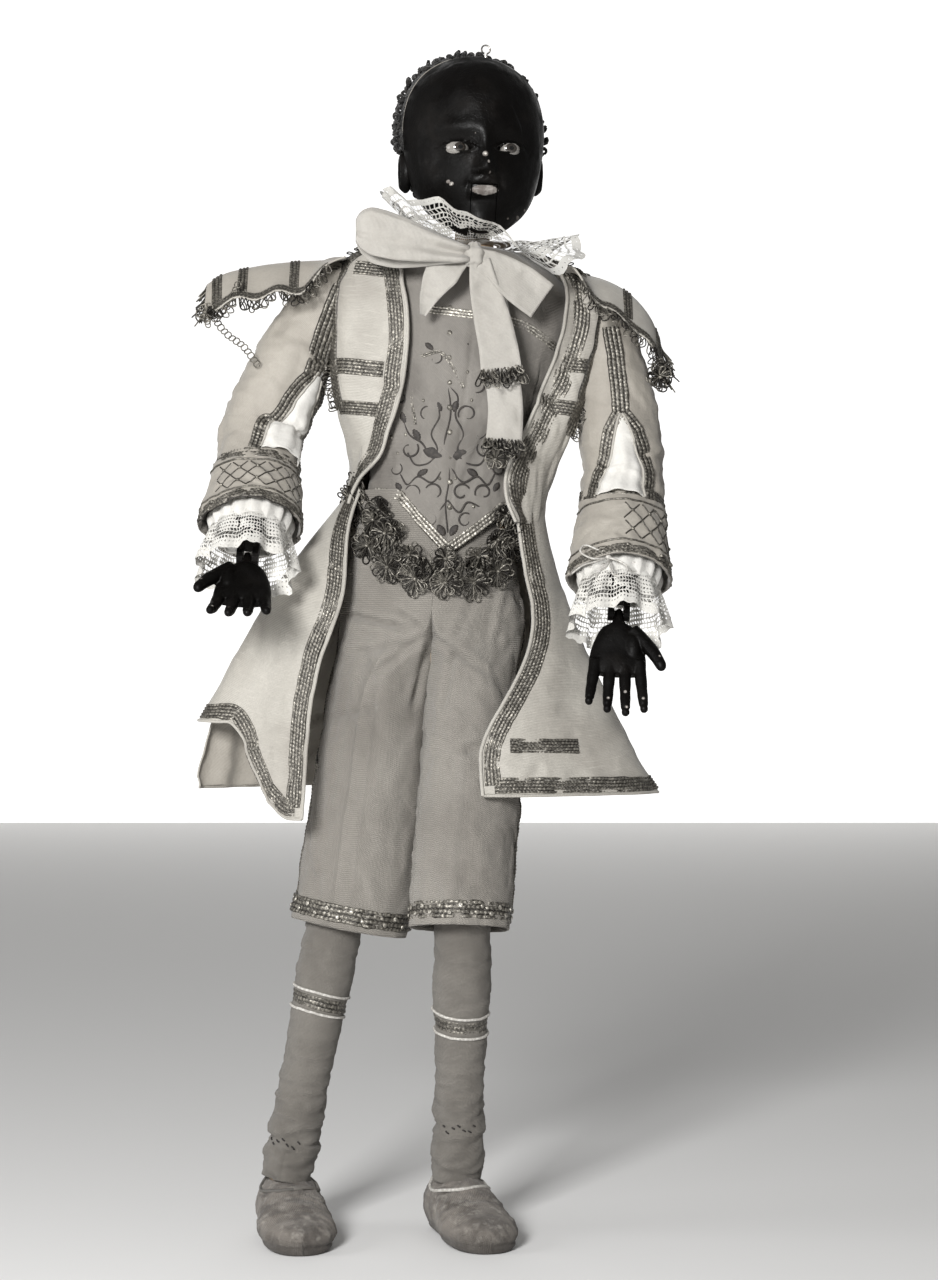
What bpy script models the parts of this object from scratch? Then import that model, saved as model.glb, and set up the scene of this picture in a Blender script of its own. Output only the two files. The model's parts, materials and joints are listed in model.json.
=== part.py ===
"""A carved and dressed page-boy puppet, built as it would come apart on a bench.

Lengths are in millimetres until they reach a mesh.  The figure faces -Y, its own
right side is at -X, and +Z is up.  Positions are first given above the floor that
the soles stand on; the whole figure hangs from the empty "figure", which puts the
origin at the rest point between the shoulder blades.
"""

import math

import bmesh
import bpy
from mathutils import Matrix, Vector

MM = 0.001
GAP = 0.3
SIDES = 12
PIN_SIDES = 8
SKULL_SIDES = 16

# driving dimensions: the skeleton of joints
HIP_CENTRE = (-6.0, 0.0, 298.0)
HIP_SPREAD = 21.0
CHEST_LEAN = 6.5
SHOULDER_HEIGHT = 175.0
SHOULDER_SPREAD = 66.0
UPPER_ARM_LENGTH = 85.0
FOREARM_LENGTH = 75.0
THIGH_LENGTH = 125.0
SHIN_LENGTH = 141.5
NECK_FOOT = (16.5, 2.0, 475.0)
NECK_TOP = 530.0
NOD_HEIGHT = 522.0
HEAD_YAW = 9.0
JAW_PIVOT = (0.0, 5.0, 16.0)
JAW_HALF_WIDTH = 6.3
LIP_HEIGHT = 6.6
EYE_CENTRE = (13.1, -34.0, 25.4)
EYE_R = 4.3
NECK_RING_R = 11.0

# the pose that the figure is stored in, per side: outward tilts and forward bends, degrees
SIGN = {"right": -1.0, "left": 1.0}
ARM_OUT = {"right": 21.5, "left": 15.5}
FOREARM_OUT = {"right": -25.0, "left": -12.0}
FOREARM_BEND = {"right": 35.0, "left": 30.0}
HAND_BEND = {"right": 14.0, "left": -2.0}
THIGH_OUT = {"right": 10.8, "left": -1.3}
THIGH_BEND = {"right": 0.0, "left": 10.6}
KNEE_BEND = {"right": 0.0, "left": 21.2}
FOOT_YAW = {"right": 10.0, "left": 17.0}

# thicknesses and pins
CLOTH = 1.2
SHOULDER_PIN_R = 1.6
ELBOW_PIN_R = 1.4
WRIST_PIN_R = 1.1
HIP_ROD_R = 2.0
KNEE_PIN_R = 1.7
DOWEL_R = 4.0
NECK_R = 9.0

# trunk sections above the hip centre: height, half width, half depth
TORSO = [(32, 36, 22), (60, 35, 21), (85, 37, 22.5), (110, 42, 25), (150, 50, 27),
         (180, 50, 25), (195, 36, 20), (203, 16, 15)]
PELVIS = [(-14, 30, 9), (-9, 34, 15), (0, 36, 18), (10, 36, 20), (24, 35, 21)]
# coat sections on the same axis
COAT = [(70, 49, 29.5), (85, 48, 29.5), (110, 50.5, 31.5), (150, 56.5, 33.5), (178, 56, 31.5),
        (192, 46, 27)]
# head sections above the nod pin: height, centre forward shift, half width, half depth
SKULL = [(-16, -21, 7, 8), (-12, -18, 15, 14), (-6, -13, 22, 21), (2, -8, 27, 28),
         (14, -5, 31.5, 34.5), (28, -3.5, 34.5, 38), (42, -2, 35.5, 39.5), (56, -1, 33, 37),
         (66, 0, 27, 30.5), (73, 1, 17.5, 20), (76, 1, 8, 10)]

MATERIALS = {
    "painted_wood": ((0.020, 0.017, 0.015), 0.45, 0.0),
    "bare_wood": ((0.45, 0.33, 0.21), 0.70, 0.0),
    "steel_wire": ((0.35, 0.34, 0.32), 0.40, 1.0),
    "eye_glass": ((0.80, 0.79, 0.75), 0.12, 0.0),
    "hair": ((0.030, 0.024, 0.020), 0.75, 0.0),
    "coat_silk": ((0.50, 0.47, 0.42), 0.55, 0.0),
    "waistcoat_silk": ((0.33, 0.31, 0.28), 0.60, 0.0),
    "ribbon_silk": ((0.50, 0.48, 0.43), 0.50, 0.0),
    "lace": ((0.82, 0.80, 0.75), 0.85, 0.0),
    "ribbed_cloth": ((0.33, 0.31, 0.28), 0.85, 0.0),
    "stocking_knit": ((0.30, 0.28, 0.25), 0.90, 0.0),
    "shoe_cloth": ((0.36, 0.33, 0.29), 0.85, 0.0),
}


# ---------------------------------------------------------------- scene and helpers

def clear_scene():
    for item in list(bpy.data.objects):
        bpy.data.objects.remove(item, do_unlink=True)


def new_collection(name):
    collection = bpy.data.collections.new(name)
    bpy.context.scene.collection.children.link(collection)
    return collection


def make_material(slot):
    colour, roughness, metallic = MATERIALS[slot]
    material = bpy.data.materials.new(slot)
    material.use_nodes = True
    shader = material.node_tree.nodes["Principled BSDF"]
    shader.inputs["Base Color"].default_value = (*colour, 1.0)
    shader.inputs["Roughness"].default_value = roughness
    shader.inputs["Metallic"].default_value = metallic
    return material


clear_scene()
FIGURE = new_collection("page_boy_puppet")
CUTTERS = new_collection("cutters")
SLOTS = {slot: make_material(slot) for slot in MATERIALS}
FRAMES = {}


def add_frame(name, parent=None, location=(0, 0, 0), turn=(0, 0, 0)):
    """An empty on a joint's axis, at a place and turn measured in its parent frame."""
    empty = bpy.data.objects.new(name, None)
    empty.empty_display_size = 10 * MM
    empty.location = Vector(location) * MM
    empty.rotation_euler = [math.radians(angle) for angle in turn]
    empty.parent = FRAMES.get(parent)
    FIGURE.objects.link(empty)
    FRAMES[name] = empty
    bpy.context.view_layer.update()
    return empty


def add_piece(name, frame, mesh_maker, slot, helper=False):
    """One object in a frame, from a bmesh whose lengths are in millimetres."""
    mesh = bpy.data.meshes.new(name)
    mesh_maker.transform(Matrix.Scale(MM, 4))
    bmesh.ops.recalc_face_normals(mesh_maker, faces=mesh_maker.faces)
    mesh_maker.to_mesh(mesh)
    mesh_maker.free()
    mesh.shade_smooth()
    mesh.set_sharp_from_angle(angle=math.radians(40))
    piece = bpy.data.objects.new(name, mesh)
    piece.parent = FRAMES[frame]
    if helper:
        CUTTERS.objects.link(piece)
        piece.hide_render = True
        piece.display_type = "WIRE"
    else:
        mesh.materials.append(SLOTS[slot])
        FIGURE.objects.link(piece)
    return piece


def ellipse(height, half_width, half_depth, centre=(0.0, 0.0), sides=SIDES):
    """A level ring, counted round from +X."""
    points = []
    for index in range(sides):
        angle = math.tau * index / sides
        x = centre[0] + half_width * math.cos(angle)
        y = centre[1] + half_depth * math.sin(angle)
        points.append(Vector((x, y, height)))
    return points


def loft_mesh(rings, caps=True):
    """Skin through rings that all have the same number of points."""
    bm = bmesh.new()
    rows = [[bm.verts.new(point) for point in ring] for ring in rings]
    count = len(rows[0])
    for lower, upper in zip(rows, rows[1:]):
        for index in range(count):
            after = (index + 1) % count
            bm.faces.new((lower[index], lower[after], upper[after], upper[index]))
    if caps:
        bm.faces.new(list(reversed(rows[0])))
        bm.faces.new(rows[-1])
    return bm


def grid_mesh(rows):
    """An open sheet through rows of points."""
    bm = bmesh.new()
    verts = [[bm.verts.new(point) for point in row] for row in rows]
    for lower, upper in zip(verts, verts[1:]):
        for index in range(len(lower) - 1):
            bm.faces.new((lower[index], lower[index + 1], upper[index + 1], upper[index]))
    return bm


def box_mesh(low, high):
    bm = bmesh.new()
    size = Vector(high) - Vector(low)
    middle = (Vector(high) + Vector(low)) / 2
    bmesh.ops.create_cube(bm, size=1.0, matrix=Matrix.Translation(middle) @ Matrix.Diagonal((*size, 1.0)))
    return bm


def rod_mesh(start, end, radius, end_radius=None, sides=PIN_SIDES):
    """A straight round rod or taper between two points."""
    bm = bmesh.new()
    start = Vector(start)
    along = Vector(end) - start
    place = Matrix.Translation(start + along / 2) @ along.to_track_quat("Z", "Y").to_matrix().to_4x4()
    bmesh.ops.create_cone(
        bm,
        cap_ends=True,
        segments=sides,
        radius1=radius,
        radius2=radius if end_radius is None else end_radius,
        depth=along.length,
        matrix=place,
    )
    return bm


def ball_mesh(centre, radii, segments=10, rings=6):
    bm = bmesh.new()
    place = Matrix.Translation(centre) @ Matrix.Diagonal((*radii, 1.0))
    bmesh.ops.create_uvsphere(bm, u_segments=segments, v_segments=rings, radius=1.0, matrix=place)
    return bm


def boolean(piece, frame, mesh_maker, operation):
    """Cut a shape away from a piece, or join one to it."""
    count = len(piece.modifiers)
    helper = add_piece(f"{piece.name}_{operation.lower()}_{count}", frame, mesh_maker, None, helper=True)
    modifier = piece.modifiers.new(f"{operation.lower()}_{count}", "BOOLEAN")
    modifier.operation = operation
    modifier.solver = "EXACT"
    modifier.object = helper
    return helper


def cut(piece, frame, mesh_maker):
    return boolean(piece, frame, mesh_maker, "DIFFERENCE")


def join(piece, frame, mesh_maker):
    return boolean(piece, frame, mesh_maker, "UNION")


def thicken(piece, thickness=CLOTH, offset=0.0):
    modifier = piece.modifiers.new("thickness", "SOLIDIFY")
    modifier.thickness = thickness * MM
    modifier.offset = offset
    return modifier


def sheet(name, frame, rows, slot, thickness=CLOTH):
    piece = add_piece(name, frame, grid_mesh(rows), slot)
    thicken(piece, thickness)
    return piece


def sleeve_tube(name, frame, rings, slot, thickness=CLOTH):
    piece = add_piece(name, frame, loft_mesh(rings, caps=False), slot)
    thicken(piece, thickness)
    return piece


def spread(low, high, count):
    """Evenly spaced values with both ends."""
    return [low + (high - low) * index / (count - 1) for index in range(count)]


def ease(share):
    """Rises smoothly from 0 to 1."""
    share = min(1.0, max(0.0, share))
    return share * share * (3 - 2 * share)


def section_at(table, height):
    """Half width and half depth at a height, between the rows of a section table."""
    if height <= table[0][0]:
        return table[0][1], table[0][2]
    for low, high in zip(table, table[1:]):
        if height <= high[0]:
            share = (height - low[0]) / (high[0] - low[0])
            return tuple(low[i] + (high[i] - low[i]) * share for i in (1, 2))
    return table[-1][1], table[-1][2]


def around(table, height, degrees, proud=0.0):
    """A point on a section, counted from straight ahead (-Y) towards +X."""
    half_width, half_depth = section_at(table, height)
    angle = math.radians(degrees)
    x = (half_width + proud) * math.sin(angle)
    y = -(half_depth + proud) * math.cos(angle)
    return Vector((x, y, height))


# ---------------------------------------------------------------- frames

BACK_REST = Vector((11.0, 34.0, 447.0))


def make_frames():
    add_frame("figure", location=-BACK_REST)
    add_frame("pelvis_frame", "figure", HIP_CENTRE)
    add_frame("chest_frame", "pelvis_frame", turn=(0, CHEST_LEAN, 0))
    add_frame("neck_frame", "figure", (NECK_FOOT[0], NECK_FOOT[1], NOD_HEIGHT), (0, 0, HEAD_YAW))
    add_frame("head_frame", "neck_frame")
    add_frame("jaw_frame", "head_frame", JAW_PIVOT)
    for side, sign in SIGN.items():
        make_arm_frames(side, sign)
        make_leg_frames(side, sign)


def make_arm_frames(side, sign):
    out = sign * SHOULDER_SPREAD
    add_frame(f"{side}_shoulder_frame", "chest_frame", (out, 0, SHOULDER_HEIGHT))
    add_frame(f"{side}_upper_arm_frame", f"{side}_shoulder_frame", turn=(0, -sign * ARM_OUT[side], 0))
    # the forearm turns in a little about the line of sight, and bends forward at the elbow
    place = (0, 0, -UPPER_ARM_LENGTH)
    add_frame(f"{side}_elbow_frame", f"{side}_upper_arm_frame", place, (0, -sign * FOREARM_OUT[side], 0))
    add_frame(f"{side}_forearm_frame", f"{side}_elbow_frame", turn=(-FOREARM_BEND[side], 0, 0))
    place = (0, 0, -FOREARM_LENGTH)
    add_frame(f"{side}_hand_frame", f"{side}_forearm_frame", place, (-HAND_BEND[side], 0, 0))


def make_leg_frames(side, sign):
    add_frame(f"{side}_hip_frame", "pelvis_frame", (sign * HIP_SPREAD, 0, 0))
    turn = (-THIGH_BEND[side], THIGH_OUT[side] * -sign, 0)
    add_frame(f"{side}_thigh_frame", f"{side}_hip_frame", turn=turn)
    add_frame(f"{side}_shin_frame", f"{side}_thigh_frame", (0, 0, -THIGH_LENGTH), (KNEE_BEND[side], 0, 0))
    # the foot stands level under the ankle
    ankle = FRAMES[f"{side}_shin_frame"].matrix_world @ Vector((0, 0, -SHIN_LENGTH * MM))
    foot = ankle / MM + BACK_REST
    add_frame(f"{side}_foot_frame", "figure", (foot.x, foot.y, 0), (0, 0, FOOT_YAW[side]))


# ---------------------------------------------------------------- trunk

def make_trunk_core():
    rings = [ellipse(z, w, d) for z, w, d in TORSO]
    torso = add_piece("torso", "chest_frame", loft_mesh(rings), "bare_wood")
    rings = [ellipse(z, w, d) for z, w, d in PELVIS]
    pelvis = add_piece("pelvis", "pelvis_frame", loft_mesh(rings), "bare_wood")

    dowel_low, dowel_high = 6.0, 62.0
    dowel = rod_mesh((0, 0, dowel_low), (0, 0, dowel_high), DOWEL_R)
    add_piece("waist_dowel", "chest_frame", dowel, "bare_wood")
    low, high = dowel_low - GAP, dowel_high + GAP
    for piece in (torso, pelvis):
        cut(piece, "chest_frame", rod_mesh((0, 0, low), (0, 0, high), DOWEL_R + GAP))

    reach = SHOULDER_SPREAD - 6.5
    ends = ((-reach, 0, SHOULDER_HEIGHT), (reach, 0, SHOULDER_HEIGHT))
    add_piece("shoulder_rod", "chest_frame", rod_mesh(*ends, SHOULDER_PIN_R), "steel_wire")
    cut(torso, "chest_frame", rod_mesh(*ends, SHOULDER_PIN_R + GAP))

    # the neck post turns in a round socket
    low = NECK_FOOT[2] - NOD_HEIGHT - GAP
    cut(torso, "neck_frame", rod_mesh((0, 0, low), (0, 0, 0), NECK_R + GAP, sides=SKULL_SIDES))

    # the thigh tongues swing in two slots on one rod
    reach = 33.0
    add_piece("hip_rod", "pelvis_frame", rod_mesh((-reach, 0, 0), (reach, 0, 0), HIP_ROD_R), "steel_wire")
    cut(pelvis, "pelvis_frame", rod_mesh((-reach - 9, 0, 0), (reach + 9, 0, 0), HIP_ROD_R + GAP))
    for sign in SIGN.values():
        middle = sign * HIP_SPREAD
        cut(pelvis, "pelvis_frame", box_mesh((middle - 5.6, -30, -20), (middle + 5.6, 30, 12)))


def make_waistcoat():
    """Two fronts sewn as one panel, with a pointed hem."""
    angles = spread(-66, 66, 13)
    top = 182.0
    rows = []
    for share in spread(0.0, 1.0, 7):
        row = []
        for angle in angles:
            hem = 46 + 26 * abs(angle) / 66
            row.append(around(TORSO, hem + (top - hem) * share, angle, 2.7))
        rows.append(row)
    sheet("waistcoat", "chest_frame", rows, "waistcoat_silk")


def make_coat():
    """Back, two fronts, and the skirts that hang from the waist."""
    heights = (75, 92, 110, 130, 150, 170, 186)
    rows = [[around(COAT, z, angle) for angle in spread(92, 268, 15)] for z in heights]
    back = sheet("coat_back", "chest_frame", rows, "coat_silk")
    cut_armholes(back)
    # the fronts curve away from each other above and below the breast
    front_edges = {
        "right": (-44, -42, -36, -31, -28, -31, -38),
        "left": (40, 42, 46, 50, 54, 58, 60),
    }
    for side, fronts in front_edges.items():
        seam = 88 * SIGN[side]
        rows = []
        for z, front in zip(heights, fronts):
            rows.append([around(COAT, z, angle) for angle in spread(front, seam, 6)])
        panel = sheet(f"{side}_coat_front", "chest_frame", rows, "coat_silk")
        cut_armholes(panel)


def cut_armholes(panel):
    for sign in SIGN.values():
        start = (sign * 40, 0, SHOULDER_HEIGHT)
        end = (sign * 75, 0, SHOULDER_HEIGHT)
        cut(panel, "chest_frame", rod_mesh(start, end, 13, sides=SIDES))


def skirt_point(share, degrees):
    """The skirts flare from the waist to a hem that is wide to the sides and flat behind.

    The right side lies spread out soon below the waist, and the left side hangs straighter.
    """
    waist_z, hem_z = 372.0, 226.0
    waist_x, hem_x = 3.0, -8.0
    waist_half, hem_half = 49.0, 114.0
    angle = math.radians(degrees)
    flare = math.sin(share * math.pi / 2) if math.sin(angle) < 0 else share ** 1.3
    half = waist_half + (hem_half - waist_half) * flare
    x = waist_x + (hem_x - waist_x) * share + half * math.sin(angle)
    depth = 29 + (17 if math.cos(angle) > 0 else 14) * share
    y = 2 - depth * math.cos(angle)
    # the waist seam leans with the chest
    z = waist_z + (hem_z - waist_z) * share - x * math.sin(math.radians(CHEST_LEAN)) * (1 - share)
    return Vector((x, y, z))


def make_skirts():
    panels = {
        "coat_skirt_back": (lambda share: 96, 264, 13),
        "right_coat_skirt": (lambda share: -64 + 28 * math.sqrt(share), -94, 7),
        "left_coat_skirt": (lambda share: 46 - 31 * ease((share - 0.3) / 0.6), 94, 9),
    }
    for name, (front, seam, count) in panels.items():
        rows = []
        for share in spread(0.02, 1.0, 8):
            rows.append([skirt_point(share, angle) for angle in spread(front(share), seam, count)])
        sheet(name, "figure", rows, "coat_silk")


def make_wings():
    """A stiffened flap over the top of each sleeve."""
    edges = {
        "right": ((-50, 495.0), (-72, 492.5), (-96, 488.0), (-117, 479.0)),
        "left": ((66, 484.0), (84, 480.0), (101, 471.0), (112, 453.0)),
    }
    for side, profile in edges.items():
        rows = []
        for x, z in profile:
            row = []
            for y in spread(-24, 22, 6):
                droop = 4.0 * (y / 24) ** 2
                row.append(Vector((x, y, z - droop)))
            rows.append(row)
        sheet(f"{side}_wing", "figure", rows, "coat_silk", 1.0)


def make_neckwear():
    """A lace collar that rises on the right and falls on the left, and a ribbon bow below it."""
    neck_x, neck_y = NECK_FOOT[:2]
    collar_foot, collar_edge = 12.5, 45.5
    collar_height = 502.6
    edge_rise = 9.0
    right_rise, left_drop = 15.0, 16.0
    rows = []
    for share in spread(0.0, 1.0, 4):
        ring = []
        for index in range(24):
            angle = math.tau * index / 24
            slope = left_drop if math.cos(angle) > 0 else right_rise
            rise = edge_rise - slope * math.cos(angle)
            radius = collar_foot + (collar_edge - collar_foot) * share
            x = neck_x + radius * math.cos(angle)
            y = neck_y + radius * math.sin(angle)
            ring.append(Vector((x, y, collar_height + rise * share ** 1.6)))
        rows.append(ring)
    sleeve_tube("lace_collar", "figure", rows, "lace", 0.8)

    knot = (19, -44, 493)
    ribbon = add_piece("neck_ribbon", "figure", ball_mesh(knot, (7, 5, 5)), "ribbon_silk")
    join(ribbon, "figure", ball_mesh((-8, -43, 491), (26, 4.5, 9)))
    join(ribbon, "figure", ball_mesh((39, -42, 483), (21, 4, 8)))
    tails = add_frame("ribbon_frame", "figure", (knot[0] + 4, knot[1], knot[2] - 1), (-8, 0, 0))
    join(ribbon, tails.name, box_mesh((-9, -1.4, -70), (9, 1.4, 0)))


def make_breeches_seat():
    rows = []
    for z, half_width, half_depth in ((-20, 48, 29), (0, 48, 29), (20, 46, 28), (40, 44, 27)):
        rows.append(ellipse(z, half_width, half_depth, centre=(2, 0), sides=SKULL_SIDES))
    sleeve_tube("breeches_seat", "pelvis_frame", rows, "ribbed_cloth")


# ---------------------------------------------------------------- head

def skull_rings():
    return [ellipse(z, w, d, (0, shift), sides=SKULL_SIDES) for z, shift, w, d in SKULL]


def make_neck():
    low, high = NECK_FOOT[2] - NOD_HEIGHT, NECK_TOP - NOD_HEIGHT
    shaft = rod_mesh((0, 0, low), (0, 0, high), NECK_R, sides=SKULL_SIDES)
    post = add_piece("neck_post", "neck_frame", shaft, "bare_wood")
    join(post, "neck_frame", rod_mesh((0, 0, -20.5), (0, 0, -17.5), NECK_RING_R, sides=SKULL_SIDES))
    pin_reach = 19.0
    add_piece("nod_pin", "neck_frame", rod_mesh((-pin_reach, 0, 0), (pin_reach, 0, 0), 1.5), "steel_wire")
    cut(post, "neck_frame", rod_mesh((-14, 0, 0), (14, 0, 0), 1.5 + GAP))


def make_head():
    head = add_piece("head", "head_frame", loft_mesh(skull_rings()), "painted_wood")
    for sign in SIGN.values():
        join(head, "head_frame", ball_mesh((sign * 34, 6, 19), (4.5, 8, 11)))
    join(head, "head_frame", ball_mesh((0, -40, 15.8), (6, 6, 7)))

    # hollow for the neck post, a bore for its pin, and the slot that the jaw moves in
    cut(head, "head_frame", box_mesh((-9.6, -13.5, -25), (9.6, 14, 12)))
    cut(head, "head_frame", rod_mesh((-19.3, 0, 0), (19.3, 0, 0), 1.5 + GAP))
    mouth_top = LIP_HEIGHT + 0.5
    outline = ((-50, -26), (18, -26), (18, 24), (-31, 24), (-31, mouth_top), (-50, mouth_top))
    half_slot = JAW_HALF_WIDTH + 0.4
    slot = loft_mesh([[Vector((x, y, z)) for y, z in outline] for x in (-half_slot, half_slot)])
    cut(head, "head_frame", slot)
    cut(head, "jaw_frame", rod_mesh((-14.3, 0, 0), (14.3, 0, 0), 1.3 + GAP))
    for side, sign in SIGN.items():
        centre = (sign * EYE_CENTRE[0], EYE_CENTRE[1], EYE_CENTRE[2])
        socket = EYE_R + 0.4
        cut(head, "head_frame", ball_mesh(centre, (socket, socket, socket), 12, 8))
        add_piece(f"{side}_eye", "head_frame", ball_mesh(centre, (EYE_R, EYE_R, EYE_R), 12, 8), "eye_glass")
    cut(head, "head_frame", rod_mesh((6, -6, 62), (6, -6, 90), 0.9 + GAP, sides=8))


def wig_rings(proud, low):
    """The skull grown outwards by an allowance, above a height."""
    middle, reach = 30.0, 46.0
    rings = []
    for z, shift, half_width, half_depth in SKULL:
        if z >= low:
            height = middle + (z - middle) * (1 + proud / reach)
            rings.append(ellipse(height, half_width + proud, half_depth + proud, (0, shift), SKULL_SIDES))
    return rings


def make_wig():
    """A cap of curls over the back and sides of the skull, behind the hairline and the ears."""
    wig = add_piece("wig", "head_frame", loft_mesh(wig_rings(4.5, 14)), "hair")
    hollow = [ellipse(5, 31.5, 33, (0, -5.5), SKULL_SIDES)] + wig_rings(0.6, 14)
    cut(wig, "head_frame", loft_mesh(hollow))
    # it stops above and behind the ears
    cut(wig, "head_frame", box_mesh((-60, -80, -40), (60, 15, 31.5)))
    # the forehead and face stay bare in front of a plane that leans back to the crown
    hairline = add_frame("hairline_frame", "head_frame", (0, -2, 14), (-14, 0, 0))
    cut(wig, hairline.name, box_mesh((-70, -90, -50), (70, 0, 95)))


def make_crown_eye():
    """A wire screw eye let into the crown."""
    ring = bmesh.new()
    segments, sides, ring_r, wire_r = 12, 5, 2.2, 0.5
    top = 80.5
    rings = []
    for index in range(segments):
        angle = math.tau * index / segments
        across = Vector((math.cos(angle), 0, math.sin(angle)))
        points = []
        for step in range(sides):
            turn = math.tau * step / sides
            aside = Vector((0, wire_r * math.sin(turn), 0))
            points.append(across * (ring_r + wire_r * math.cos(turn)) + aside)
        rings.append([ring.verts.new(point + Vector((6, -6, top))) for point in points])
    for index in range(segments):
        here, after = rings[index], rings[(index + 1) % segments]
        for step in range(sides):
            step_after = (step + 1) % sides
            ring.faces.new((here[step], here[step_after], after[step_after], after[step]))
    eye = add_piece("crown_eye", "head_frame", ring, "steel_wire")
    join(eye, "head_frame", rod_mesh((6, -6, 63), (6, -6, top - ring_r + 0.1), 0.9, sides=8))


def make_jaw():
    """Lip and chin in one block, on a lever that turns on a pin behind the mouth."""
    lip = LIP_HEIGHT - JAW_PIVOT[2]
    chin = box_mesh((-JAW_HALF_WIDTH, -48, -26), (JAW_HALF_WIDTH, -25, lip))
    jaw = add_piece("jaw", "jaw_frame", chin, "painted_wood")
    skin = add_piece("jaw_skin", "head_frame", loft_mesh(skull_rings()), None, helper=True)
    trim = jaw.modifiers.new("chin_outline", "BOOLEAN")
    trim.operation = "INTERSECT"
    trim.solver = "EXACT"
    trim.object = skin
    join(jaw, "jaw_frame", box_mesh((-6.0, -34, -16), (6.0, -25.2, 3.3)))
    join(jaw, "jaw_frame", box_mesh((-3.2, -28, -3.2), (3.2, 7.0, 3.3)))
    cut(jaw, "jaw_frame", rod_mesh((-10, 0, 0), (10, 0, 0), 1.3 + GAP))
    add_piece("jaw_pin", "jaw_frame", rod_mesh((-14, 0, 0), (14, 0, 0), 1.3), "steel_wire")
    make_jaw_spring()


def make_jaw_spring():
    """A small coil behind the pin that presses the lever down and so closes the mouth."""
    turns, steps, wire_r, coil_r = 2, 10, 0.35, 1.5
    low, high = 4.1, 7.2
    rings = []
    for index in range(turns * steps + 1):
        angle = math.tau * index / steps
        rise = low + (high - low) * index / (turns * steps)
        outward = Vector((math.cos(angle), math.sin(angle), 0))
        centre = outward * coil_r + Vector((0, 4.6, rise))
        ring = []
        for step in range(6):
            turn = math.tau * step / 6
            above = Vector((0, 0, wire_r * math.sin(turn)))
            ring.append(centre + outward * (wire_r * math.cos(turn)) + above)
        rings.append(ring)
    add_piece("jaw_spring", "jaw_frame", loft_mesh(rings), "steel_wire")


# ---------------------------------------------------------------- arms

def add_clevis(piece, frame, axis, height, inner, outer, radius, hole):
    """Two ears across a pin; the pin runs along X or Y of the frame."""
    for sign in (-1.0, 1.0):
        start, end = Vector((0, 0, height)), Vector((0, 0, height))
        start[axis] = sign * inner
        end[axis] = sign * outer
        join(piece, frame, rod_mesh(start, end, radius, sides=SIDES))
    start, end = Vector((0, 0, height)), Vector((0, 0, height))
    start[axis] = -outer - 2
    end[axis] = outer + 2
    return rod_mesh(start, end, hole, sides=12)


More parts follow.
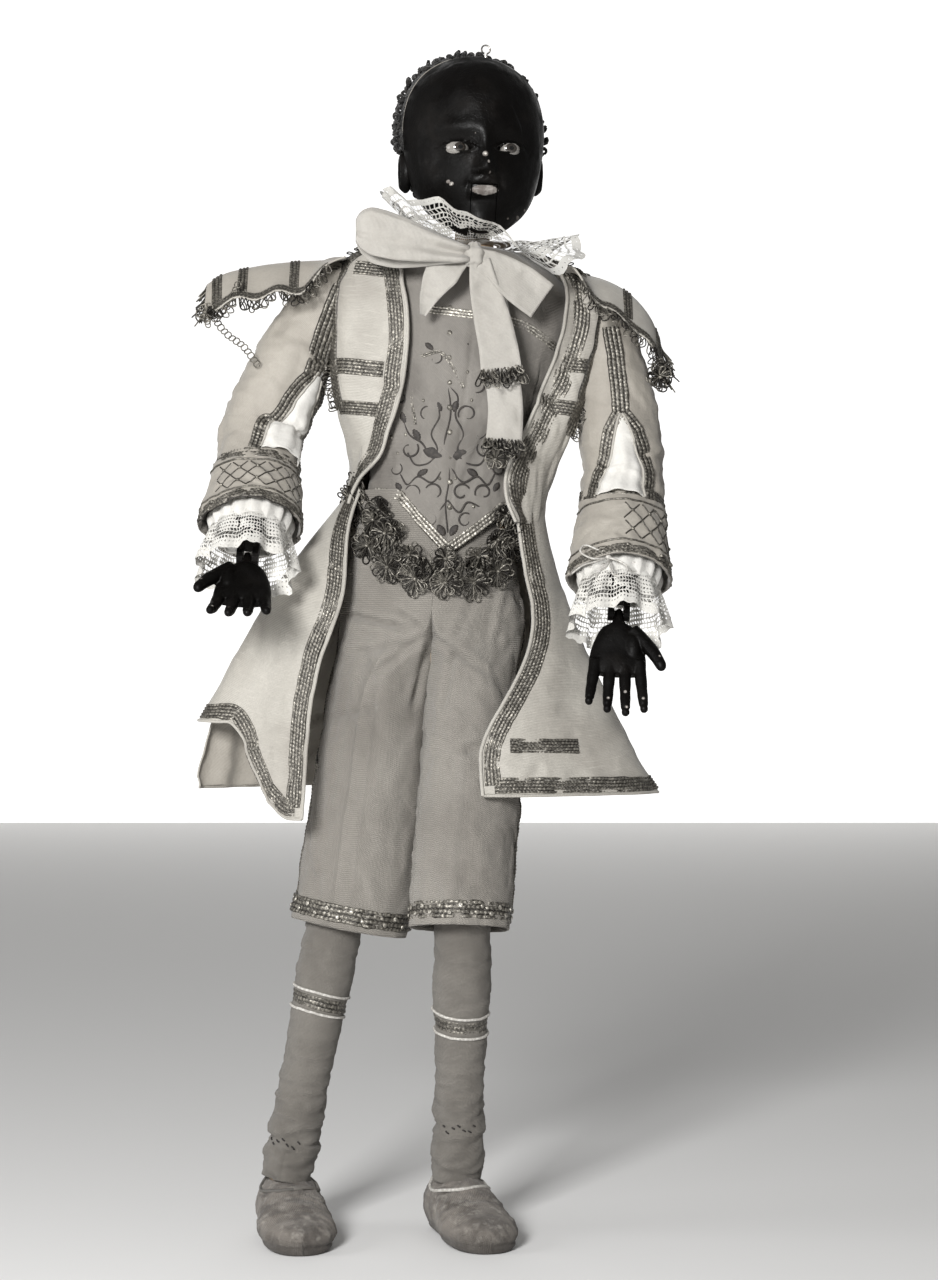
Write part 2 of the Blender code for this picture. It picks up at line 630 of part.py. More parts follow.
def make_arm(side, sign):
    shoulder = f"{side}_shoulder_frame"
    upper = f"{side}_upper_arm_frame"
    elbow = f"{side}_elbow_frame"
    fore = f"{side}_forearm_frame"
    hand = f"{side}_hand_frame"

    # a turned block swings on the shoulder rod and carries a flat tongue
    inner = -(SHOULDER_SPREAD - 50.9) * sign
    outer = -7.8 * sign
    spool = rod_mesh((inner, 0, 0), (outer, 0, 0), 8, sides=SIDES)
    block = add_piece(f"{side}_shoulder_block", shoulder, spool, "bare_wood")
    join(block, shoulder, box_mesh((min(outer * 1.1, 0), -1.9, -5.5), (max(outer * 1.1, 0), 1.9, 5.5)))
    join(block, shoulder, rod_mesh((0, -1.9, 0), (0, 1.9, 0), 5.5, sides=SIDES))
    cut(block, shoulder, rod_mesh((inner * 1.2, 0, 0), (-6.2 * sign, 0, 0), SHOULDER_PIN_R + GAP))
    cut(block, shoulder, rod_mesh((0, -5, 0), (0, 5, 0), SHOULDER_PIN_R + GAP))
    pin = rod_mesh((0, -7.2, 0), (0, 7.2, 0), SHOULDER_PIN_R)
    add_piece(f"{side}_shoulder_pin", shoulder, pin, "steel_wire")

    # upper arm: ears above, a cleft for the forearm's tongue below
    rings = [ellipse(z, w, d) for z, w, d in ((-78, 7, 7), (-70, 8, 8), (-40, 8.5, 8.5), (-12, 7, 7.2))]
    arm = add_piece(f"{side}_upper_arm", upper, loft_mesh(rings), "bare_wood")
    hole = add_clevis(arm, upper, 1, 0, 2.3, 6.9, 6.4, SHOULDER_PIN_R + GAP)
    for ear in (-1.0, 1.0):
        join(arm, upper, box_mesh((-5, min(ear * 2.3, ear * 6.9), -18), (5, max(ear * 2.3, ear * 6.9), -1)))
    cut(arm, upper, hole)
    for ear in (-1.0, 1.0):
        join(arm, elbow, rod_mesh((ear * 3.3, 0, 0), (ear * 7.4, 0, 0), 6, sides=SIDES))
        low, high = sorted((ear * 3.3, ear * 7.4))
        join(arm, elbow, box_mesh((low, -5, 0), (high, 5, 18)))
    cut(arm, elbow, rod_mesh((-10, 0, 0), (10, 0, 0), ELBOW_PIN_R + GAP))
    add_piece(f"{side}_elbow_pin", elbow, rod_mesh((-7.6, 0, 0), (7.6, 0, 0), ELBOW_PIN_R), "steel_wire")

    # forearm
    rings = [ellipse(z, w, d) for z, w, d in ((-68, 5, 5), (-60, 6, 6), (-30, 7.5, 7.5), (-12, 7, 6.5))]
    forearm = add_piece(f"{side}_forearm", fore, loft_mesh(rings), "painted_wood")
    join(forearm, fore, box_mesh((-2.9, -4.2, -14), (2.9, 4.2, 0)))
    join(forearm, fore, rod_mesh((-2.9, 0, 0), (2.9, 0, 0), 5, sides=SIDES))
    cut(forearm, fore, rod_mesh((-6, 0, 0), (6, 0, 0), ELBOW_PIN_R + GAP))
    wrist = (0, 0, -FOREARM_LENGTH)
    for ear in (-1.0, 1.0):
        start = (ear * 2.3, 0, wrist[2])
        end = (ear * 5.4, 0, wrist[2])
        join(forearm, fore, rod_mesh(start, end, 4.2, sides=12))
        low, high = sorted((ear * 2.3, ear * 5.4))
        join(forearm, fore, box_mesh((low, -3.6, wrist[2]), (high, 3.6, wrist[2] + 9)))
    cut(forearm, fore, rod_mesh((-8, 0, wrist[2]), (8, 0, wrist[2]), WRIST_PIN_R + GAP))
    add_piece(f"{side}_wrist_pin", hand, rod_mesh((-5.6, 0, 0), (5.6, 0, 0), WRIST_PIN_R), "steel_wire")

    make_hand(side, sign, hand)
    make_sleeve(side, sign, upper, fore)


def make_hand(side, sign, frame):
    """Open hand, palm ahead, thumb away from the body."""
    sections = ((-34, 14.5, 3.6), (-26, 14.5, 5), (-16, 12, 5.6), (-9, 8.5, 5.2), (-6.5, 6, 4.2))
    rings = [ellipse(z, w, d) for z, w, d in sections]
    hand = add_piece(f"{side}_hand", frame, loft_mesh(rings), "painted_wood")
    join(hand, frame, box_mesh((-1.9, -3, -9), (1.9, 3, 0)))
    join(hand, frame, rod_mesh((-1.9, 0, 0), (1.9, 0, 0), 3.6, sides=12))
    cut(hand, frame, rod_mesh((-5, 0, 0), (5, 0, 0), WRIST_PIN_R + GAP))
    lengths = (19, 23, 24.5, 22)
    for index, length in enumerate(lengths):
        root = -sign * (11.2 - 7.4 * index)
        tip = root * 1.25
        join(hand, frame, rod_mesh((root, 0, -31), (tip, -2.0, -33 - length), 3.3, 2.2, sides=8))
    join(hand, frame, rod_mesh((sign * 9, -1, -14), (sign * 22, -5, -34), 3.9, 2.5, sides=8))


def make_sleeve(side, sign, upper, fore):
    """The coat sleeve to the elbow, the turned-back cuff and the lace frill below it."""
    rows = []
    for z, radius, shift in ((-84, 19, 2), (-66, 20, 3), (-44, 19, 3.5), (-26, 16, 3.5), (-12, 12.5, 2.5)):
        rows.append(ellipse(z, radius, radius, (sign * shift, 0), sides=SIDES))
    sleeve_tube(f"{side}_sleeve", upper, rows, "coat_silk")
    rows = [ellipse(z, r, r * 0.92, sides=SIDES) for z, r in ((-56, 25.5), (-42, 23.5), (-24, 20))]
    sleeve_tube(f"{side}_cuff", fore, rows, "waistcoat_silk")
    rows = [ellipse(z, r, r * 0.92, sides=SIDES) for z, r in ((-79, 24.5), (-70, 22.5), (-60, 20.5))]
    sleeve_tube(f"{side}_lace_cuff", fore, rows, "lace", 0.8)


# ---------------------------------------------------------------- legs

def make_leg(side, sign):
    hip, thigh_frame = f"{side}_hip_frame", f"{side}_thigh_frame"
    shin_frame, foot_frame = f"{side}_shin_frame", f"{side}_foot_frame"

    sections = ((-114, 10, 11), (-104, 13, 13.5), (-60, 15.5, 16), (-30, 15, 15), (-24, 12, 12))
    rings = [ellipse(z, w, d) for z, w, d in sections]
    thigh = add_piece(f"{side}_thigh", thigh_frame, loft_mesh(rings), "bare_wood")
    join(thigh, hip, box_mesh((-5.0, -8, -30), (5.0, 8, 0)))
    join(thigh, hip, rod_mesh((-5.0, 0, 0), (5.0, 0, 0), 9, sides=SKULL_SIDES))
    cut(thigh, hip, rod_mesh((-9, 0, 0), (9, 0, 0), HIP_ROD_R + GAP))
    for ear in (-1.0, 1.0):
        low, high = sorted((ear * 4.4, ear * 9.5))
        knee = -THIGH_LENGTH
        join(thigh, thigh_frame, rod_mesh((ear * 4.4, 0, knee), (ear * 9.5, 0, knee), 8, sides=SIDES))
        join(thigh, thigh_frame, box_mesh((low, -7, knee), (high, 7, knee + 14)))
    cut(thigh, shin_frame, rod_mesh((-14, 0, 0), (14, 0, 0), KNEE_PIN_R + GAP))
    add_piece(f"{side}_knee_pin", shin_frame, rod_mesh((-9.6, 0, 0), (9.6, 0, 0), KNEE_PIN_R), "steel_wire")

    # lower leg and foot in one piece of wood, with a tongue at the knee
    sections = ((-SHIN_LENGTH + 4, 9, 9.5), (-118, 8.8, 9.5), (-92, 9.4, 10), (-50, 11.4, 12.5),
                (-20, 10.5, 11), (-12, 8, 8))
    rings = [ellipse(z, w, d) for z, w, d in sections]
    leg = add_piece(f"{side}_lower_leg", shin_frame, loft_mesh(rings), "bare_wood")
    join(leg, shin_frame, box_mesh((-4.0, -6, -16), (4.0, 6, 0)))
    join(leg, shin_frame, rod_mesh((-4.0, 0, 0), (4.0, 0, 0), 7, sides=SIDES))
    cut(leg, shin_frame, rod_mesh((-9, 0, 0), (9, 0, 0), KNEE_PIN_R + GAP))
    join(leg, foot_frame, loft_mesh(foot_rings(-4.0)))
    join(leg, foot_frame, rod_mesh((0, 1, 14), (0, 1, 46), 10.5, 9, sides=12))

    sections = ((-140, 13.0, 13.4), (-126, 12.6, 13.2), (-98, 11.8, 12.6), (-76, 12.4, 13.4),
                (-50, 13.8, 14.8), (-15, 13.6, 14))
    rows = [ellipse(z, w, d, sides=SIDES) for z, w, d in sections]
    sleeve_tube(f"{side}_stocking", shin_frame, rows, "stocking_knit", 1.0)

    shoe = add_piece(f"{side}_shoe", foot_frame, loft_mesh(foot_rings(0.0)), "shoe_cloth")
    cut(shoe, foot_frame, loft_mesh(foot_rings(-2.4)))
    cut(shoe, foot_frame, rod_mesh((0, 2, 12), (0, 2, 50), 13.0, 15.0, sides=SKULL_SIDES))

    make_breeches_leg(side, sign, thigh_frame)


def foot_rings(proud):
    """Sections from heel to toe, flat below; a negative allowance shrinks the shape inside itself."""
    heel, toe = 18, -58
    # place along the foot, half width, height, and height of the widest line
    sections = ((heel, 9, 16, 6), (14, 14, 26, 11), (2, 16.5, 31, 14), (-14, 17, 27, 12),
                (-30, 19, 21, 9), (-44, 18, 17, 7.5), (-54, 12.5, 13, 6), (toe, 6, 9, 5))
    ends = {heel: heel + proud, toe: toe - proud}
    rings = []
    for y, half_width, height, middle in sections:
        y = ends.get(y, y)
        ring = []
        for index in range(SIDES):
            angle = math.tau * index / SIDES
            x = (half_width + proud) * math.cos(angle)
            reach = height + proud - middle if math.sin(angle) > 0 else middle + 4
            z = max(-proud, middle + reach * math.sin(angle))
            ring.append(Vector((x, y, z)))
        rings.append(ring)
    return rings


def make_breeches_leg(side, sign, frame):
    sections = {
        "right": ((-140, 26.5, 24, 5.5), (-110, 26.5, 24.5, 4), (-75, 26, 24.5, 3), (-45, 24, 24, 1),
                  (-30, 21, 23, -1)),
        "left": ((-140, 22.5, 23, 0), (-110, 23, 24, 1), (-75, 24, 24.5, 2), (-45, 22.5, 24, 1.5),
                 (-30, 20.5, 23, 1)),
    }
    rows = [ellipse(z, w, d, (shift, 0), sides=SIDES) for z, w, d, shift in sections[side]]
    sleeve_tube(f"{side}_breeches_leg", frame, rows, "ribbed_cloth")


# ---------------------------------------------------------------- assembly

make_frames()
make_trunk_core()
make_waistcoat()
make_coat()
make_skirts()
make_wings()
make_neckwear()
make_breeches_seat()
make_neck()
make_head()
make_wig()
make_crown_eye()
make_jaw()
for figure_side, figure_sign in SIGN.items():
    make_arm(figure_side, figure_sign)
    make_leg(figure_side, figure_sign)
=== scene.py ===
"""Surfaces, materials, light and camera for a carved and dressed page-boy puppet.

Shapes are worked out in figure millimetres: the figure faces -Y, its own right side is
at -X, and Z is the height above the floor that the soles stand on.  They go over to the
shared frame, in metres, only when a piece is made.
"""

import json
import math

import bmesh
import bpy
import numpy as np
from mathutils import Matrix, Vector


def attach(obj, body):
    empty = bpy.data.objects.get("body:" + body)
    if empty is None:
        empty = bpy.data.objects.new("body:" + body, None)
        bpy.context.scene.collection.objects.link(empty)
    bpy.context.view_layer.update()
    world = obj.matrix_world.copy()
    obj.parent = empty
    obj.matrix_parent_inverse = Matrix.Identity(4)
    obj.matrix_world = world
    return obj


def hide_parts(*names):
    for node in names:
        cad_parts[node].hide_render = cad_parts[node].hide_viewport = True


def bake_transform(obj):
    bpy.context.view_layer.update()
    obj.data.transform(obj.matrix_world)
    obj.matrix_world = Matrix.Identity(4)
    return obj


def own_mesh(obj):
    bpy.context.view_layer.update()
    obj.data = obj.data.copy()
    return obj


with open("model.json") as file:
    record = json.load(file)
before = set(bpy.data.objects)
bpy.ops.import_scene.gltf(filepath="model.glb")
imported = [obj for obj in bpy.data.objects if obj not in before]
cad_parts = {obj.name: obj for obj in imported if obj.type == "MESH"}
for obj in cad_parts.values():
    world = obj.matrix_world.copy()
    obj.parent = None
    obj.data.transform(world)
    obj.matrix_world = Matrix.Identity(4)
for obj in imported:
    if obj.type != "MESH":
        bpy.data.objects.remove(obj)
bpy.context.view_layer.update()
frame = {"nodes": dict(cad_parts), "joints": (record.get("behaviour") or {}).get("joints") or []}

SIGN = {"right": -1.0, "left": 1.0}
TAU = 2 * math.pi

# ---------------------------------------------------------------- frames from the joints

JOINTS = {joint["name"]: joint for joint in frame["joints"]}
HIPS = np.array((-6.0, 0.0, 298.0))
HIPS_IN_ROW = 500 * (np.array(JOINTS["right_hip"]["pos_m"]) + np.array(JOINTS["left_hip"]["pos_m"]))
KNEE_BEND = {"right": 0.0, "left": 21.2}
HAND_BEND = {"right": 14.0, "left": -2.0}
FOOT_YAW = {"right": 10.0, "left": 17.0}
SHIN_LENGTH = 141.5
X_AXIS, _, Z_AXIS = np.eye(3)


def to_row(points):
    return (np.asarray(points, float) - HIPS + HIPS_IN_ROW) / 1000


def joint_point(name):
    return np.array(JOINTS[name]["pos_m"]) * 1000 - HIPS_IN_ROW + HIPS


def joint_across(name):
    """A joint's axis, turned to point towards +X."""
    axis = np.array(JOINTS[name]["axis"], float)
    return axis if axis[0] > 0 else -axis


def unit(vectors):
    vectors = np.asarray(vectors, float)
    return vectors / np.maximum(np.linalg.norm(vectors, axis=-1, keepdims=True), 1e-9)


def axes(origin, up, across):
    """A place with Z along up and X as near to across as it goes."""
    z = unit(up)
    x = unit(across - np.dot(across, z) * z)
    place = np.eye(4)
    place[:3, 0], place[:3, 1], place[:3, 2], place[:3, 3] = x, np.cross(z, x), z, origin
    return place


def moved(place, x=0.0, y=0.0, z=0.0):
    step = np.eye(4)
    step[:3, 3] = x, y, z
    return place @ step


def turned(place, axis, degrees):
    """A place turned about one of its own axes: 0, 1 or 2."""
    c, s = math.cos(math.radians(degrees)), math.sin(math.radians(degrees))
    first, second = (axis + 1) % 3, (axis + 2) % 3
    turn = np.eye(4)
    turn[first, first] = turn[second, second] = c
    turn[first, second], turn[second, first] = -s, s
    return place @ turn


def put(place, points):
    return np.asarray(points, float) @ place[:3, :3].T + place[:3, 3]


def unput(place, points):
    return (np.asarray(points, float) - place[:3, 3]) @ place[:3, :3]


FIGURE = np.eye(4)
PELVIS = moved(FIGURE, *HIPS)
SHOULDERS = (joint_point("right_shoulder_swing") + joint_point("left_shoulder_swing")) / 2
CHEST = axes(HIPS, SHOULDERS - HIPS, X_AXIS)
HEAD = axes(joint_point("head_nod"), Z_AXIS, joint_across("head_nod"))
UPPER_ARM, FOREARM, HAND, THIGH, SHIN, FOOT = {}, {}, {}, {}, {}, {}
for side in SIGN:
    shoulder, elbow = joint_point(f"{side}_shoulder_spread"), joint_point(f"{side}_elbow")
    wrist, hip, knee = (joint_point(f"{side}_{name}") for name in ("wrist", "hip", "knee"))
    UPPER_ARM[side] = axes(shoulder, shoulder - elbow, X_AXIS)
    FOREARM[side] = axes(elbow, elbow - wrist, joint_across(f"{side}_elbow"))
    HAND[side] = turned(moved(FOREARM[side], z=-np.linalg.norm(elbow - wrist)), 0, -HAND_BEND[side])
    THIGH[side] = axes(hip, hip - knee, joint_across(f"{side}_knee"))
    SHIN[side] = turned(moved(THIGH[side], z=-np.linalg.norm(hip - knee)), 0, KNEE_BEND[side])
    ankle = put(SHIN[side], (0, 0, -SHIN_LENGTH))
    FOOT[side] = turned(moved(FIGURE, ankle[0], ankle[1]), 2, FOOT_YAW[side])

# ---------------------------------------------------------------- camera, light and floor

CAMERA_AT = (14.8, -1516.0, 302.0)
LENS_MM, SENSOR_MM = 83.6, 36.0
FLOOR_WIDE = 8000.0
SCREEN_BACK, SCREEN_WIDE, SCREEN_HIGH = 3400.0, 3200.0, 3000.0


def pale_surface(name, colour, roughness=0.9, glow=0.0):
    material = bpy.data.materials.new(name)
    material.use_nodes = True
    shader = material.node_tree.nodes["Principled BSDF"]
    shader.inputs["Base Color"].default_value = (*colour, 1)
    shader.inputs["Roughness"].default_value = roughness
    shader.inputs["Emission Color"].default_value = (1.0, 0.995, 0.985, 1)
    shader.inputs["Emission Strength"].default_value = glow
    return material


def add_light(name, at, aim, power, size, colour=(1, 1, 1)):
    data = bpy.data.lights.new(name, "AREA")
    data.energy, data.size, data.color = power, size, colour
    lamp = bpy.data.objects.new(name, data)
    bpy.context.scene.collection.objects.link(lamp)
    lamp.location = to_row(at)
    lamp.rotation_euler = Vector(to_row(aim) - to_row(at)).to_track_quat("-Z", "Y").to_euler()


def make_studio():
    data = bpy.data.cameras.new("camera")
    data.lens, data.sensor_width, data.clip_end = LENS_MM, SENSOR_MM, 20
    camera = bpy.data.objects.new("camera", data)
    bpy.context.scene.collection.objects.link(camera)
    camera.location = to_row(CAMERA_AT)
    camera.rotation_euler = (math.pi / 2, 0, 0)
    bpy.context.scene.camera = camera

    world = bpy.data.worlds.new("pale_room")
    world.use_nodes = True
    background = world.node_tree.nodes["Background"]
    background.inputs["Color"].default_value = (1.0, 0.995, 0.985, 1)
    background.inputs["Strength"].default_value = 0.20
    bpy.context.scene.world = world
    bpy.context.scene.view_settings.view_transform = "Standard"

    middle = (0, -20, 330)
    add_light("window", (-420, -1450, 680), middle, 33, 0.34)
    add_light("fill", (-1500, -300, 700), (0, 0, 330), 5, 0.7)

    bpy.ops.mesh.primitive_plane_add(size=FLOOR_WIDE / 1000, location=to_row((0, 0, -0.4)))
    floor = bpy.context.object
    floor.name = "floor"
    floor.data.materials.append(pale_surface("pale_floor", (0.80, 0.795, 0.785)))
    # a lit screen, far enough back for every view to stand between it and the puppet
    bpy.ops.mesh.primitive_plane_add(size=1, location=to_row((0, SCREEN_BACK, SCREEN_HIGH / 2)),
                                     rotation=(math.pi / 2, 0, 0))
    screen = bpy.context.object
    screen.scale = (SCREEN_WIDE / 1000, SCREEN_HIGH / 1000, 1)
    screen.name = "screen"
    screen.data.materials.append(pale_surface("lit_screen", (0.8, 0.8, 0.8), glow=0.86))


# ---------------------------------------------------------------- small maths

def smooth(value, low=0.0, high=1.0):
    share = np.clip((np.asarray(value, float) - low) / (high - low), 0, 1)
    return share * share * (3 - 2 * share)


def bump(distance, width):
    """A round hill of height one."""
    return np.exp(-(np.asarray(distance) / width) ** 2)


def waves(points, size, seed, layers=3):
    """Smooth repeatable lumps of about a size, from about -1 to 1."""
    draw = np.random.default_rng(seed)
    points = np.asarray(points, float)
    total = np.zeros(points.shape[:-1])
    for layer in range(layers):
        scale = size / 1.9 ** layer
        for _ in range(5):
            direction = unit(draw.normal(size=points.shape[-1]))
            phase, stretch = draw.uniform(0, TAU), draw.uniform(0.7, 1.5)
            place = points @ direction * TAU / (scale * stretch) + phase + 0.8 * total
            total = total + 0.6 ** layer * np.sin(place)
    return total / 4


def table(rows, at):
    """Values between the rows of a table, by its first column; Catmull-Rom smooth."""
    rows = np.asarray(rows, float)
    key, values = rows[:, 0], rows[:, 1:]
    slope = np.gradient(values, key, axis=0)
    at = np.clip(np.asarray(at, float), key[0], key[-1])
    low = np.clip(np.searchsorted(key, at, side="right") - 1, 0, len(key) - 2)
    span = key[low + 1] - key[low]
    t = (at - key[low]) / span
    t2, t3 = t * t, t * t * t
    part = [2 * t3 - 3 * t2 + 1, t3 - 2 * t2 + t, 3 * t2 - 2 * t3, t3 - t2]
    part = [p[..., None] for p in part]
    span = span[..., None]
    found = part[0] * values[low] + part[1] * span * slope[low] + part[2] * values[low + 1]
    found = found + part[3] * span * slope[low + 1]
    return found[..., 0] if values.shape[1] == 1 else found


def along(path, step=None, count=None):
    """A smooth line through points, with even spacing."""
    path = np.asarray(path, float)
    length = np.concatenate([[0], np.cumsum(np.linalg.norm(np.diff(path, axis=0), axis=1))])
    rows = np.column_stack([length, path])
    fine = table(rows, np.linspace(0, length[-1], max(200, 4 * len(path))))
    reach = np.concatenate([[0], np.cumsum(np.linalg.norm(np.diff(fine, axis=0), axis=1))])
    count = count or max(2, int(round(reach[-1] / step)) + 1)
    even = np.linspace(0, reach[-1], count)
    return np.column_stack([np.interp(even, reach, fine[:, i]) for i in range(fine.shape[1])])


def normals(grid, wrap=False):
    """Outward directions on a grid: across its columns, then down its rows."""
    if wrap:
        padded = np.concatenate([grid[:, -1:], grid, grid[:, :1]], axis=1)
        du = (padded[:, 2:] - padded[:, :-2]) / 2
    else:
        du = np.gradient(grid, axis=1)
    dv = np.gradient(grid, axis=0)
    return unit(np.cross(du, dv))


# ---------------------------------------------------------------- meshes

class Parts:
    """Surfaces gathered in figure millimetres, that become one piece."""

    def __init__(self):
        self.points, self.quads, self.uvs, self.relief, self.count = [], [], [], [], 0

    def grid(self, grid, wrap=False, relief=None, uv_at=(0.0, 0.0), flip=False):
        rows, columns = grid.shape[:2]
        index = np.arange(rows * columns).reshape(rows, columns) + self.count
        loop = grid
        if wrap:
            index = np.concatenate([index, index[:, :1]], axis=1)
            loop = np.concatenate([grid, grid[:, :1]], axis=1)
        u = np.zeros(loop.shape[:2])
        v = np.zeros(loop.shape[:2])
        u[:, 1:] = np.cumsum(np.linalg.norm(np.diff(loop, axis=1), axis=2), axis=1)
        u -= u[:, -1:] / 2
        v[1:] = np.cumsum(np.linalg.norm(np.diff(loop, axis=0), axis=2), axis=0)
        uv = np.stack([u / 1000 + uv_at[0], v / 1000 + uv_at[1]], axis=-1)
        order = ((0, 0), (0, 1), (1, 1), (1, 0))
        order = order[::-1] if flip else order
        last_row, last_column = index.shape[0] - 1, index.shape[1] - 1
        corner = [(slice(a, last_row + a), slice(b, last_column + b)) for a, b in order]
        self.quads.append(np.stack([index[c] for c in corner], axis=-1).reshape(-1, 4))
        self.uvs.append(np.stack([uv[c] for c in corner], axis=-2).reshape(-1, 2))
        self.points.append(grid.reshape(-1, 3))
        relief = np.full(rows * columns, 0.5) if relief is None else np.asarray(relief, float).reshape(-1)
        self.relief.append(relief)
        self.count += rows * columns

    def tube(self, path, radius, sides=6, across=None, closed=False, relief=None):
        """A round thread along a path; radius may vary along it."""
        path = np.asarray(path, float)
        if closed:
            tangent = unit(np.roll(path, -1, axis=0) - np.roll(path, 1, axis=0))
        else:
            tangent = unit(np.gradient(path, axis=0))
        if across is None:
            mean = np.abs(tangent).mean(axis=0)
            across = np.eye(3)[int(np.argmin(mean))]
        first = unit(np.cross(tangent, np.broadcast_to(across, path.shape)))
        second = np.cross(tangent, first)
        turn = np.arange(sides) * TAU / sides
        radius = np.broadcast_to(np.asarray(radius, float), len(path))[:, None, None]
        ring = np.cos(turn)[None, :, None] * first[:, None] + np.sin(turn)[None, :, None] * second[:, None]
        grid = path[:, None] + radius * ring
        if closed:
            grid = np.concatenate([grid, grid[:1]])
        value = None if relief is None else np.broadcast_to(relief, grid.shape[:2])
        self.grid(grid, wrap=True, relief=value, flip=True)

    def ball(self, centre, radii, place=FIGURE, rows=9, columns=12, relief=None):
        up = np.linspace(-math.pi / 2 + 0.02, math.pi / 2 - 0.02, rows)[:, None]
        turn = (np.arange(columns) * TAU / columns)[None]
        shape = np.stack([np.cos(up) * np.cos(turn), np.cos(up) * np.sin(turn), np.sin(up) + 0 * turn],
                         axis=-1)
        value = None if relief is None else np.full(shape.shape[:2], relief)
        self.grid(put(place, shape * np.asarray(radii) + np.asarray(centre)), wrap=True, relief=value,
                  flip=True)

    def mesh(self, name):
        points = to_row(np.concatenate(self.points))
        quads = np.concatenate(self.quads)
        mesh = bpy.data.meshes.new(name)
        mesh.vertices.add(len(points))
        mesh.vertices.foreach_set("co", points.astype(np.float32).ravel())
        mesh.loops.add(quads.size)
        mesh.loops.foreach_set("vertex_index", quads.astype(np.int32).ravel())
        mesh.polygons.add(len(quads))
        mesh.polygons.foreach_set("loop_start", np.arange(0, quads.size, 4, dtype=np.int32))
        mesh.uv_layers.new(name="cloth")
        mesh.uv_layers[0].data.foreach_set("uv", np.concatenate(self.uvs).astype(np.float32).ravel())
        attribute = mesh.attributes.new("relief", "FLOAT", "POINT")
        attribute.data.foreach_set("value", np.concatenate(self.relief).astype(np.float32))
        mesh.update(calc_edges=True)
        mesh.validate()
        mesh.shade_smooth()
        return mesh


def new_object(name, mesh, material):
    made = bpy.data.objects.new(name, mesh)
    bpy.context.scene.collection.objects.link(made)
    if not mesh.materials:
        mesh.materials.append(material)
    return made


def applied(made, *modifiers):
    """The object with modifiers worked into its mesh; each is (type, settings)."""
    for kind, settings in modifiers:
        modifier = made.modifiers.new(kind.lower(), kind)
        for key, value in settings.items():
            setattr(modifier, key, value)
    bpy.context.view_layer.update()
    graph = bpy.context.evaluated_depsgraph_get()
    mesh = bpy.data.meshes.new_from_object(made.evaluated_get(graph))
    old = made.data
    made.modifiers.clear()
    made.data = mesh
    name = old.name
    bpy.data.meshes.remove(old)
    mesh.name = name
    mesh.shade_smooth()
    return made


def thick(millimetres, offset=0.0):
    return ("SOLIDIFY", {"thickness": millimetres / 1000, "offset": offset})


def piece(name, parts, material, body=None, modifiers=(), replaces=(), blend=None):
    """One named piece, in place on its body.  blend is (body, body, start, end); its values are not used, and
    a piece given one is baked in place with no body.
    """
    made = new_object(name, parts.mesh(name), material)
    if modifiers:
        made = applied(made, *modifiers)
    if blend:
        first, second, start, end = blend
        tuple(to_row(start))
        tuple(to_row(end))
        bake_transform(made)
    else:
        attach(made, body)
    if replaces:
        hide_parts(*replaces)
    return made


# ---------------------------------------------------------------- materials

